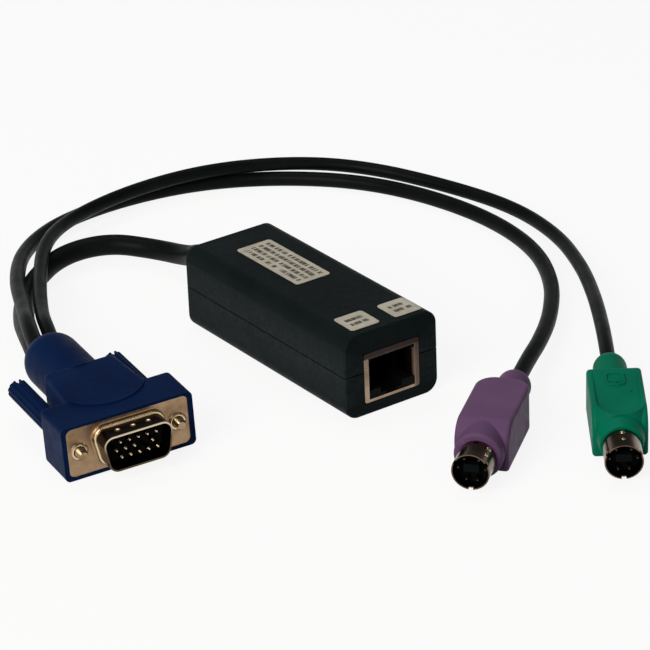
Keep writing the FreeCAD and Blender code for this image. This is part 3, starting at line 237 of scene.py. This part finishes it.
class Finish(Tree):
    """A material with one Principled shader; its noises are placed by the piece's own coordinates."""

    def __init__(self, name):
        self.material = bpy.data.materials.new(name)
        self.material.use_nodes = True
        super().__init__(self.material.node_tree)
        self.shader = self.nodes["Principled BSDF"]
        self.place = self.add("ShaderNodeTexCoord").outputs["Object"]

    def set(self, **values):
        for key, value in values.items():
            self.shader.inputs[key.replace("_", " ")].default_value = value

    def colour(self, source):
        self.link(source, self.shader.inputs["Base Color"])

    def rough(self, source, low, high):
        self.link(self.ranged(source, 0.3, 0.7, low, high), self.shader.inputs["Roughness"])

    def bump(self, height, distance, strength, under=None):
        """Adds relief, distance in metres, on top of the one under it."""
        node = self.add("ShaderNodeBump")
        node.inputs["Distance"].default_value = distance
        node.inputs["Strength"].default_value = strength
        self.link(height, node.inputs["Height"])
        if under is not None:
            self.link(under, node.inputs["Normal"])
        self.link(node.outputs["Normal"], self.shader.inputs["Normal"])
        return node.outputs["Normal"]

    def noise(self, per_metre, detail, roughness=0.55, place=None):
        node = self.add("ShaderNodeTexNoise")
        node.inputs["Scale"].default_value = per_metre
        node.inputs["Detail"].default_value = detail
        node.inputs["Roughness"].default_value = roughness
        self.link(place or self.place, node.inputs["Vector"])
        return node.outputs["Fac"]

    def drift(self, per_metre, detail, low=0.35, high=0.65):
        """Noise spread over the whole range from 0 to 1."""
        return self.ranged(self.noise(per_metre, detail), low, high)

    def drawn(self, per_metre, direction):
        """Noise drawn out into lines along one axis."""
        node = self.add("ShaderNodeMapping")
        node.inputs["Scale"].default_value = direction
        self.link(self.place, node.inputs["Vector"])
        return self.noise(per_metre, 3, 0.6, node.outputs["Vector"])

    def worn(self, low, high):
        """1 along convex edges and 0 elsewhere, broken up as wear is."""
        edge = self.add("ShaderNodeNewGeometry").outputs["Pointiness"]
        rubbed = self.ranged(edge, low, high)
        return self.math("MULTIPLY", rubbed, self.ranged(self.noise(900, 4), 0.35, 0.65, 0.2, 1.0))

    def along_plug(self, axis):
        """How far a point is along one of the video plug's own axes."""
        turned = place_matrix(*VIDEO_PLUG)
        way = turned.col[axis].xyz
        node = self.add("ShaderNodeVectorMath", operation="DOT_PRODUCT")
        self.link(self.place, node.inputs[0])
        node.inputs[1].default_value = way
        return self.math("SUBTRACT", node.outputs["Value"], turned.translation.dot(way))

    def fade(self, source, start, end, to_low=0.0, to_high=1.0):
        """Goes over from one value to the other between two distances in millimetres."""
        return self.ranged(source, start * MM, end * MM, to_low, to_high)

    def within(self, source, half):
        """1 where a value is nearer to 0 than half, else 0."""
        return self.math("LESS_THAN", self.math("ABSOLUTE", source), half)

    def all_of(self, first, *others):
        """The product of factors: 1 only where each one is."""
        for other in others:
            first = self.math("MULTIPLY", first, other)
        return first


def moulding(name, dark, light, rubbed, roughness, grain, grain_depth, specular=0.5, edge=(0.53, 0.62)):
    """A moulded plastic: slow colour drift, fine spark-eroded grain, and paler rubbed edges."""
    finish = Finish(name)
    base = finish.mixed(finish.drift(55, 2, 0.3, 0.7), screen(*dark), screen(*light))
    wear = finish.math("MULTIPLY", finish.worn(*edge), 0.5)
    finish.colour(finish.mixed(wear, base, screen(*rubbed)))
    finish.rough(finish.noise(420, 4), *roughness)
    soft = finish.bump(finish.noise(180, 2), 0.00003, 0.35)
    finish.bump(finish.noise(grain, 2, 0.5), grain_depth, 0.8, soft)
    finish.set(Specular_IOR_Level=specular)
    return finish.material


def vinyl(name, dark, light, rubbed, specular):
    """A plug's softer moulding, which is rubbed only at its sharpest edges."""
    return moulding(
        name, dark, light, rubbed, roughness=(0.4, 0.54), grain=1900, grain_depth=0.000014,
        specular=specular, edge=(0.6, 0.8),
    )


def cord_jacket():
    """Soft black vinyl: satin, with faint waviness and dusty patches."""
    finish = Finish("cord_vinyl")
    finish.colour(finish.mixed(finish.drift(90, 3), screen(10, 14, 15), screen(17, 20, 20)))
    finish.rough(finish.noise(260, 4), 0.36, 0.48)
    waves = finish.bump(finish.noise(110, 2), 0.00012, 0.5)
    finish.bump(finish.noise(2600, 2), 0.000008, 0.5, waves)
    finish.set(Specular_IOR_Level=0.05)
    return finish.material


def sheet_metal(name, dark, light, roughness, scratch, scratch_depth, direction=DRAWN_ACROSS):
    """Plated sheet: uneven plating, fine drawn lines and small dents."""
    finish = Finish(name)
    finish.colour(finish.mixed(finish.drift(240, 4), screen(*dark), screen(*light)))
    finish.set(Metallic=1.0)
    lines = finish.drawn(scratch, direction)
    lined = finish.math("MULTIPLY", lines, 0.5)
    clouded = finish.math("MULTIPLY", finish.noise(500, 3), 0.5)
    finish.rough(finish.math("ADD", lined, clouded), *roughness)
    dents = finish.bump(finish.noise(320, 2), 0.00004, 0.5)
    finish.bump(lines, scratch_depth, 0.6, dents)
    return finish.material


def label(name, centre, turn, half_long, half_wide, pitch, bar, word, seed):
    """
    A paper sticker with rows of plain dark dashes and no lettering, in the label's own place. The rows
    are a pitch apart, bar is the share of it that is inked, and word is about the length of a dash.
    """
    finish = Finish(name)
    mapping = finish.add("ShaderNodeMapping", vector_type="TEXTURE")
    mapping.inputs["Location"].default_value = (centre[0] * MM, centre[1] * MM, 0)
    mapping.inputs["Rotation"].default_value = (0, 0, math.radians(turn))
    finish.link(finish.place, mapping.inputs["Vector"])
    across, along = finish.axes(mapping.outputs["Vector"])[:2]

    first_row, row_shift, ink_level = 50.0, 7.3, 0.44
    row_place = finish.math("ADD", finish.math("DIVIDE", across, pitch * MM), first_row)
    in_row = finish.within(finish.math("SUBTRACT", finish.math("FRACT", row_place), 0.5), bar / 2)
    joined = finish.add("ShaderNodeCombineXYZ")
    finish.link(finish.math("DIVIDE", along, word * MM), joined.inputs["X"])
    finish.link(finish.math("MULTIPLY", finish.math("FLOOR", row_place), row_shift), joined.inputs["Y"])
    joined.inputs["Z"].default_value = seed
    dash = finish.math("GREATER_THAN", finish.noise(1.0, 1, 0.5, joined.outputs["Vector"]), ink_level)
    in_dash = finish.all_of(in_row, dash)
    on_paper = finish.all_of(finish.within(along, half_long * MM), finish.within(across, half_wide * MM))
    faded = finish.ranged(finish.noise(2500, 3), 0.3, 0.6, 0.45, 1.0)
    ink = finish.all_of(in_dash, on_paper, faded)

    paper = finish.mixed(finish.drift(300, 4), screen(176, 170, 154), screen(194, 188, 172))
    finish.colour(finish.mixed(ink, paper, screen(38, 33, 34)))
    finish.rough(finish.noise(700, 3), 0.42, 0.6)
    finish.bump(finish.noise(1500, 3), 0.00001, 0.6)
    finish.set(Specular_IOR_Level=0.2)
    return finish.material


def video_shell():
    """The video plug's front: a satin flange and a polished shell, with painted light on them: a highlight at
    the shell's root, dark reflection on the shell's top, highlights on its dents and shade low on its rim.
    """
    finish = Finish("video_shell_plate")
    across, depth, height = (finish.along_plug(axis) for axis in range(3))
    on_shell = finish.fade(depth, *SHELL_ROOT)
    past_step = finish.fade(depth, *SHELL_STEP)
    at_rim = finish.fade(depth, *SHELL_RIM)
    dent_highlight = finish.all_of(
        finish.fade(height, SHELL_TOP, SHELL_TOP - DENT_FADE),
        finish.math("GREATER_THAN", height, (SHELL_TOP - DENT_DEPTH) * MM),
        finish.within(across, DENT_HALF_WIDTH * MM),
    )
    flange = finish.mixed(finish.drift(240, 4), screen(134, 108, 82), screen(166, 138, 108))
    # Painted shade and highlight on the rim: dark at its foot, light towards its top.
    rim = finish.mixed(finish.fade(height, *RIM_SHADE), screen(88, 72, 54), screen(214, 196, 168))
    # A painted highlight on the step at the shell's root.
    plating_and_painted_light = finish.mixed(on_shell, flange, screen(226, 204, 166))
    # Painted dark reflection on the shell's top, past the step.
    plating_and_painted_light = finish.mixed(past_step, plating_and_painted_light, screen(62, 50, 42))
    # Painted highlights on the shell's dents.
    plating_and_painted_light = finish.mixed(finish.all_of(past_step, dent_highlight), plating_and_painted_light, screen(206, 184, 150))
    finish.colour(finish.mixed(at_rim, plating_and_painted_light, rim))
    finish.set(Metallic=1.0)
    lines = finish.drawn(900, DRAWN_ACROSS)
    satin = finish.ranged(lines, 0.3, 0.7, 0.3, 0.42)
    polished = finish.math("MULTIPLY", on_shell, 0.14)
    finish.link(finish.math("SUBTRACT", satin, polished), finish.shader.inputs["Roughness"])
    finish.bump(lines, 0.0000008, 0.5)
    return finish.material


def video_pin():
    """A video plug's pin: a painted highlight at its rounded tip and painted shade along its shaft, down in
    the shell.
    """
    finish = Finish("video_pin_plate")
    tip = finish.fade(finish.along_plug(1), *PIN_TIP)
    # Painted shade along the shaft, going over to a painted highlight at the tip.
    finish.colour(finish.mixed(tip, screen(44, 40, 36), screen(226, 206, 176)))
    finish.set(Metallic=1.0)
    finish.rough(finish.noise(1500, 3), 0.24, 0.36)
    return finish.material


def jack_tin():
    """The jack's tin frame, with the painted shadow of the housing's edge along its top strip, a darker brown
    along its right strip, and painted shade inside its opening.
    """
    finish = Finish("jack_tin_plate")
    x, y, z = finish.axes(finish.place)
    front = finish.mixed(finish.drift(240, 4), screen(142, 122, 102), screen(168, 146, 124))
    # Painted shadow of the housing's edge along the top strip.
    front = finish.mixed(finish.fade(z, *JACK_TOP_STRIP, 0.0, 0.9), front, screen(50, 42, 44))
    front = finish.mixed(finish.fade(x, *JACK_RIGHT_STRIP, 0.0, 0.75), front, screen(66, 52, 44))
    # Painted shade on the walls inside the opening.
    finish.colour(finish.mixed(finish.fade(y, *JACK_INSIDE), front, screen(24, 19, 17)))
    finish.set(Metallic=1.0)
    lines = finish.drawn(900, DRAWN_BACK)
    finish.rough(lines, 0.32, 0.48)
    finish.bump(lines, 0.000004, 0.6)
    return finish.material


FINISHES = {
    "housing": moulding(
        "housing_plastic", dark=(15, 22, 24), light=(20, 28, 29), rubbed=(52, 60, 60),
        roughness=(0.42, 0.55), grain=2600, grain_depth=0.00002, specular=0.035,
    ),
    "black": moulding(
        "black_plastic", dark=(8, 9, 10), light=(13, 14, 15), rubbed=(40, 40, 40),
        roughness=(0.35, 0.45), grain=3200, grain_depth=0.000006, specular=0.04,
    ),
    # Black insulators deep in the round plugs' shells: black plastic, made darker still as painted shade.
    "core_in_shade": moulding(
        "dark_core_plastic", dark=(3, 4, 5), light=(6, 8, 9), rubbed=(16, 18, 20),
        roughness=(0.5, 0.6), grain=3200, grain_depth=0.000006, specular=0.04,
    ),
    "board": moulding(
        "board_mask", dark=(14, 62, 34), light=(20, 78, 42), rubbed=(90, 110, 70),
        roughness=(0.25, 0.4), grain=1500, grain_depth=0.00001, specular=0.4,
    ),
    "chip": moulding(
        "chip_epoxy", dark=(28, 28, 29), light=(38, 38, 39), rubbed=(60, 60, 60),
        roughness=(0.45, 0.6), grain=4000, grain_depth=0.00001, specular=0.3,
    ),
    "header": moulding(
        "header_nylon", dark=(214, 208, 190), light=(228, 222, 206), rubbed=(235, 230, 215),
        roughness=(0.35, 0.5), grain=2500, grain_depth=0.00001,
    ),
    "wire": moulding(
        "wire_insulation", dark=(92, 92, 96), light=(112, 112, 116), rubbed=(130, 130, 130),
        roughness=(0.35, 0.5), grain=2500, grain_depth=0.00001,
    ),
    "blue": vinyl("blue_vinyl", dark=(3, 22, 58), light=(9, 32, 70), rubbed=(46, 70, 122), specular=0.03),
    "purple": vinyl(
        "purple_vinyl", dark=(92, 66, 98), light=(106, 78, 112), rubbed=(146, 118, 152), specular=0.05,
    ),
    "green": vinyl(
        "green_vinyl", dark=(0, 104, 78), light=(3, 116, 88), rubbed=(54, 164, 136), specular=0.05,
    ),
    "cord": cord_jacket(),
    "tin": sheet_metal(
        "tin_plate", dark=(150, 126, 98), light=(184, 160, 130), roughness=(0.3, 0.46),
        scratch=900, scratch_depth=0.000004,
    ),
    # Nickel lighter than the round plugs' steel shells, as painted highlights on the shells' dimples; only
    # the shell pips use it.
    "bright": sheet_metal(
        "pip_highlight_nickel", dark=(170, 150, 122), light=(208, 190, 164), roughness=(0.16, 0.28),
        scratch=900, scratch_depth=0.000003,
    ),
    "plug_steel": sheet_metal(
        "plug_steel_plate", dark=(84, 68, 56), light=(112, 94, 78), roughness=(0.16, 0.28),
        scratch=900, scratch_depth=0.000003, direction=NOT_DRAWN,
    ),
    # The round plugs' pins: nickel painted dark as shade deep in their shells.
    "shaded_pin": sheet_metal(
        "dull_pin_nickel", dark=(52, 48, 44), light=(74, 70, 64), roughness=(0.3, 0.42),
        scratch=1500, scratch_depth=0.000002,
    ),
    "gold": sheet_metal(
        "contact_gold", dark=(120, 92, 48), light=(150, 122, 70), roughness=(0.3, 0.42),
        scratch=1500, scratch_depth=0.000002,
    ),
    "screw": sheet_metal(
        "screw_nickel", dark=(132, 112, 84), light=(172, 150, 118), roughness=(0.2, 0.34),
        scratch=1500, scratch_depth=0.000003,
    ),
    "can": sheet_metal(
        "capacitor_can", dark=(176, 178, 182), light=(206, 208, 212), roughness=(0.25, 0.4),
        scratch=1500, scratch_depth=0.000003,
    ),
    "jack_tin": jack_tin(),
    "video_shell": video_shell(),
    "pin": video_pin(),
    "label_main": label(
        "sticker_main", centre=(0.6, 11.3), turn=0.0, half_long=11.6, half_wide=4.5,
        pitch=2.15, bar=0.58, word=0.75, seed=3.0,
    ),
    "label_left": label(
        "sticker_left", centre=(-5.1, -27.3), turn=-89.2, half_long=2.5, half_wide=2.4,
        pitch=2.4, bar=0.55, word=1.3, seed=8.0,
    ),
    "label_right": label(
        "sticker_right", centre=(7.2, -27.8), turn=-89.5, half_long=2.5, half_wide=2.4,
        pitch=2.4, bar=0.55, word=1.3, seed=21.0,
    ),
}

NODE_FINISHES = {
    "housing": ["housing_top", "housing_bottom"],
    "screw": ["housing_screw_front", "housing_screw_rear", "left_jackscrew", "right_jackscrew"],
    "board": ["circuit_board"],
    "jack_tin": ["jack_shield"],
    "black": ["jack_insert", "video_insulator"],
    "core_in_shade": ["keyboard_plug_insulator", "mouse_plug_insulator"],
    "gold": ["jack_contacts"],
    "chip": ["controller_chip", "video_chip"],
    "can": ["crystal", "capacitors"],
    "header": ["cable_header"],
    "wire": ["trunk_wires"],
    "cord": ["cable_grommet", "trunk_cord", "keyboard_cord", "mouse_cord"],
    "label_main": ["label_main"],
    "label_left": ["label_left"],
    "label_right": ["label_right"],
    "blue": ["video_hood", "left_knob", "right_knob"],
    "tin": ["video_back_shell"],
    "video_shell": ["video_front_shell"],
    "pin": ["video_pins"],
    "shaded_pin": ["keyboard_plug_pins", "mouse_plug_pins"],
    "purple": ["keyboard_plug_body"],
    "green": ["mouse_plug_body"],
    "plug_steel": ["keyboard_plug_shell", "mouse_plug_shell"],
}


def dress_nodes():
    """Gives every carried-over node its finish and smooth shading with sharp edges kept."""
    for finish, nodes in NODE_FINISHES.items():
        for node in nodes:
            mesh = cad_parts[node].data
            mesh.materials.clear()
            mesh.materials.append(FINISHES[finish])
            mesh.shade_smooth()
            mesh.set_sharp_from_angle(angle=math.radians(30))


# ---- cords ---------------------------------------------------------------------------------------
def cord(name, points, diameter, node):
    """One smooth free cord, led by its route's points, standing for the CAD model's tube."""
    curve = bpy.data.curves.new(name, "CURVE")
    curve.dimensions = "3D"
    curve.resolution_u = 24
    curve.bevel_depth = diameter / 2 * MM
    curve.bevel_resolution = 10
    curve.use_fill_caps = True
    spline = curve.splines.new("NURBS")
    spline.points.add(len(points) - 1)
    for control, point in zip(spline.points, points):
        control.co = (point[0] * MM, point[1] * MM, point[2] * MM, 1)
    spline.order_u = 3
    spline.use_endpoint_u = True
    curve.materials.append(FINISHES["cord"])
    piece = bpy.data.objects.new(name, curve)
    bpy.context.scene.collection.objects.link(piece)
    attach(piece, BODY)
    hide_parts(node)
    return piece


def add_cords():
    """The trunk, whose plug is the video plug, and the two cords that run on from that plug."""
    trunk = cord("trunk_cord_visual", TRUNK_POINTS, TRUNK_DIAMETER, "trunk_cord")
    for name, points, diameter in (
        ("keyboard", KEYBOARD_POINTS, KEYBOARD_CORD_DIAMETER),
        ("mouse", MOUSE_POINTS, MOUSE_CORD_DIAMETER),
    ):
        branch = cord(f"{name}_cord_visual", points, diameter, f"{name}_cord")


# ---- pieces made here ----------------------------------------------------------------------------
def in_metres(*place):
    return tuple(value * MM for value in place)


def skin(bm, rings):
    """Joins each closed ring of vertices to the next one with four-sided faces."""
    for low, high in zip(rings, rings[1:]):
        for step in range(len(low)):
            after = (step + 1) % len(low)
            bm.faces.new((low[step], low[after], high[after], high[step]))


def mesh_piece(name, bm, place, finish, body, sharp_angle):
    """Makes a piece of a mesh, put at its place and riding a body."""
    bmesh.ops.recalc_face_normals(bm, faces=bm.faces)
    bm.transform(place)
    mesh = bpy.data.meshes.new(name)
    bm.to_mesh(mesh)
    bm.free()
    mesh.materials.append(FINISHES[finish])
    mesh.shade_smooth()
    mesh.set_sharp_from_angle(angle=math.radians(sharp_angle))
    piece = bpy.data.objects.new(name, mesh)
    bpy.context.scene.collection.objects.link(piece)
    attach(piece, body)
    return piece


def screw_place(side):
    """Where a thumbscrew's axis crosses the front of the video plug's flange."""
    across = -SCREW_OFFSET if side == "left" else SCREW_OFFSET
    return place_matrix(*VIDEO_PLUG) @ Matrix.Translation((across * MM, 0, 0))


def screw_radius(turned, along):
    """The shaft's radius at an angle in turns and a distance back: a V thread, then a plain rod."""
    if along > THREAD_END:
        return SHAFT_RADIUS
    phase = (along / THREAD_PITCH - turned) % 1.0
    thread = THREAD_ROOT + THREAD_DEPTH * min(1.0, THREAD_CUT * (1.0 - abs(2.0 * phase - 1.0)))
    chamfer = CHAMFER_RADIUS + CHAMFER_RISE * min(1.0, (along - THREAD_FRONT) / CHAMFER_LENGTH)
    return min(thread, chamfer)


def jackscrew(side):
    """A thumbscrew's shaft with a cut thread and a chamfered start, standing for the plain rod."""
    thread_rings = int((THREAD_END - THREAD_FRONT) / THREAD_STEP) + 1
    stations = [THREAD_FRONT + THREAD_STEP * index for index in range(thread_rings)]
    stations += [THREAD_END + THREAD_RUNOUT, SHAFT_TAIL]
    bm = bmesh.new()
    rings = []
    for along in stations:
        ring = []
        for step in range(RING_STEPS):
            turned = step / RING_STEPS
            radius, angle = screw_radius(turned, along), turned * math.tau
            ring.append(bm.verts.new(in_metres(radius * math.cos(angle), along, radius * math.sin(angle))))
        rings.append(ring)
    skin(bm, rings)
    bm.faces.new(rings[0])
    bm.faces.new(reversed(rings[-1]))
    piece = mesh_piece(
        f"{side}_jackscrew_thread", bm, screw_place(side), "screw",
        body=f"{side}_thumbscrew", sharp_angle=50,
    )
    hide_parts(f"{side}_jackscrew")


def screw_boss(side):
    """The drawn collar of the flange round a thumbscrew's thread, a little clear of it."""
    bm = bmesh.new()
    rings = []
    for step in range(RING_STEPS):
        angle = math.tau * step / RING_STEPS
        rings.append([
            bm.verts.new(in_metres(radius * math.cos(angle), depth, radius * math.sin(angle)))
            for radius, depth in BOSS_PROFILE
        ])
    skin(bm, rings + rings[:1])
    mesh_piece(
        f"{side}_screw_boss", bm, screw_place(side), "video_shell", body=BODY, sharp_angle=50,
    )


def ridge(bm, path, half_width, height, closed=False):
    """A low rounded ridge along a flat path in the plane z = 0."""
    shoulder_width, shoulder_height = half_width * RIDGE_SHOULDER[0], height * RIDGE_SHOULDER[1]
    profile = (
        (-half_width, RIDGE_FOOT), (-shoulder_width, shoulder_height), (0, height),
        (shoulder_width, shoulder_height), (half_width, RIDGE_FOOT),
    )
    rows = []
    for index, point in enumerate(path):
        before = path[index - 1] if closed or index else path[0]
        after = path[(index + 1) % len(path)] if closed or index < len(path) - 1 else path[-1]
        way = (Vector(after) - Vector(before)).normalized()
        side = Vector((-way.y, way.x))
        rows.append([
            bm.verts.new(in_metres(point[0] + side.x * u, point[1] + side.y * u, v)) for u, v in profile
        ])
    for first, second in zip(rows, rows[1:] + rows[:1] if closed else rows[1:]):
        for a, b in zip(range(len(profile) - 1), range(1, len(profile))):
            bm.faces.new((first[a], first[b], second[b], second[a]))


def mouse_mark():
    """The plain raised sign of a pointing device, lying on the slope of the green plug's recess."""
    bm = bmesh.new()
    half_wide, half_long = MARK_HALF_SIZE
    outline = []
    for step in range(MARK_STEPS):
        angle = math.tau * step / MARK_STEPS
        x, y = math.cos(angle), math.sin(angle)
        outline.append((
            half_wide * math.copysign(abs(x) ** MARK_SQUARENESS, x),
            half_long * math.copysign(abs(y) ** MARK_SQUARENESS, y),
        ))
    ridge(bm, outline, half_width=0.26, height=0.4, closed=True)
    for line in BUTTON_LINES:
        ridge(bm, line, half_width=0.22, height=0.34)
    ridge(bm, TAIL_LINE, half_width=0.24, height=0.34)
    slope = SCOOP_DEPTH / (GRIP_REAR - SCOOP_FRONT)
    back = GRIP_REAR - MARK_PLACE[1]
    place = (
        place_matrix(*MOUSE_PLUG)
        @ Matrix.Translation(Vector((*MARK_PLACE, GRIP_TOP - slope * back)) * MM)
        @ Matrix.Rotation(math.atan(slope), 4, "X")
    )
    mesh_piece("pointer_mark", bm, place, "green", body=BODY, sharp_angle=40)


def shell_pips(name, plug, roll):
    """The two small domes on a round plug's shell, lighter than the shell as painted highlights, turned about
    its axis from the top.
    """
    bm = bmesh.new()
    for setback, half_wide, half_long in PIPS:
        rings = []
        for layer in range(PIP_LAYERS):
            lift = math.sin(math.pi / 2 * layer / PIP_LAYERS)
            spread = math.cos(math.pi / 2 * layer / PIP_LAYERS)
            ring = []
            for step in range(PIP_STEPS):
                angle = math.tau * step / PIP_STEPS
                x = half_wide * spread * math.cos(angle)
                y = setback + half_long * spread * math.sin(angle)
                z = math.sqrt(ROUND_SHELL_RADIUS ** 2 - x * x) - PIP_SINK + PIP_HEIGHT * lift
                ring.append(bm.verts.new(in_metres(x, y, z)))
            rings.append(ring)
        skin(bm, rings)
        bm.faces.new(rings[-1])
    place = place_matrix(*plug) @ Matrix.Rotation(math.radians(roll), 4, "Y")
    mesh_piece(name, bm, place, "bright", body=BODY, sharp_angle=60)


# ---- floor, lights and camera --------------------------------------------------------------------
def add_world():
    """
    A backdrop that is white to the camera and through glass, and lights the part softly. To reflections
    it is white near the horizon and dark overhead, because the mouldings and the polished shells show no
    white from above.
    """
    world = bpy.data.worlds.new("studio")
    bpy.context.scene.world = world
    world.use_nodes = True
    tree = Tree(world.node_tree)
    background = tree.nodes["Background"].inputs
    background["Color"].default_value = (1, 1, 1, 1)
    height = tree.axes(tree.add("ShaderNodeTexCoord").outputs["Generated"])["Z"]
    reflected = tree.ranged(height, *HORIZON, 1.0, CEILING)
    unseen = tree.mixed(tree.from_rays("Glossy"), WORLD_LIGHT, reflected, "FLOAT")
    strength = tree.mixed(tree.from_rays("Camera", "Transmission"), unseen, 1.0, "FLOAT")
    tree.link(strength, background["Strength"])


def add_floor():
    """White paper with a faint shadow, which counts as grey for the light that it throws up."""
    paper = Finish("floor_paper")
    seen = paper.from_rays("Camera", "Transmission", "Glossy")
    paper.colour(paper.mixed(seen, FLOOR_BOUNCE, FLOOR_WHITE))
    paper.set(Roughness=0.9, Specular_IOR_Level=0.0)
    glow = paper.add("ShaderNodeEmission")
    glow.inputs["Color"].default_value = (1, 1, 1, 1)
    glow.inputs["Strength"].default_value = 1.0
    look = paper.add("ShaderNodeMixShader")
    paper.link(paper.math("MULTIPLY", seen, FLOOR_GLOW), look.inputs["Fac"])
    paper.link(paper.shader.outputs["BSDF"], look.inputs[1])
    paper.link(glow.outputs["Emission"], look.inputs[2])
    paper.link(look.outputs["Shader"], paper.nodes["Material Output"].inputs["Surface"])

    bm = bmesh.new()
    bmesh.ops.create_grid(bm, x_segments=1, y_segments=1, size=FLOOR_REACH)
    mesh = bpy.data.meshes.new("floor")
    bm.to_mesh(mesh)
    bm.free()
    mesh.materials.append(paper.material)
    floor = bpy.data.objects.new("floor", mesh)
    floor.location = (0, 0, FLOOR_HEIGHT)
    bpy.context.scene.collection.objects.link(floor)


def add_light(name, place, target, size, power, colour=(1, 1, 1)):
    """A rectangular lamp that faces its target, with its power in watts."""
    light = bpy.data.lights.new(name, "AREA")
    light.shape = "RECTANGLE"
    light.size, light.size_y = size
    light.energy = power
    light.color = colour
    lamp = bpy.data.objects.new(name, light)
    lamp.location = place
    lamp.rotation_euler = (Vector(target) - Vector(place)).to_track_quat("-Z", "Y").to_euler()
    bpy.context.scene.collection.objects.link(lamp)


def add_camera():
    """The camera that gives the photograph's view."""
    azimuth, elevation, roll = (math.radians(angle) for angle in CAMERA_TURN)
    level = Vector((math.cos(azimuth), math.sin(azimuth), 0))
    flat = math.cos(elevation)
    back = Vector((math.sin(azimuth) * flat, -math.cos(azimuth) * flat, math.sin(elevation)))
    rise = back.cross(level)
    right = level * math.cos(roll) + rise * math.sin(roll)
    up = rise * math.cos(roll) - level * math.sin(roll)
    data = bpy.data.cameras.new("camera")
    data.sensor_width = CAMERA_SENSOR
    data.lens = CAMERA_LENS
    data.clip_start = CAMERA_NEAR
    camera = bpy.data.objects.new("camera", data)
    camera.matrix_world = Matrix.Translation(CAMERA_PLACE) @ Matrix((right, up, back)).transposed().to_4x4()
    bpy.context.scene.collection.objects.link(camera)
    bpy.context.scene.camera = camera


bpy.context.scene.view_settings.view_transform = "Standard"
dress_nodes()
add_cords()
for side in ("left", "right"):
    jackscrew(side)
    screw_boss(side)
mouse_mark()
shell_pips("keyboard_shell_pips", KEYBOARD_PLUG, roll=44.0)
shell_pips("mouse_shell_pips", MOUSE_PLUG, roll=0.0)
add_world()
add_floor()
add_light("key", (-0.88, -0.33, 0.62), target=(0, 0, 0), size=(0.7, 0.7), power=10.0, colour=(1, 0.95, 0.88))
add_light("fill", (0.2, -0.9, 0.45), target=(0, 0, 0), size=(0.6, 0.4), power=0.5)
add_light("top", (0.1, 0.35, 0.9), target=(0, 0.03, 0), size=(0.6, 0.45), power=1.8, colour=(0.93, 0.97, 1))
add_camera()
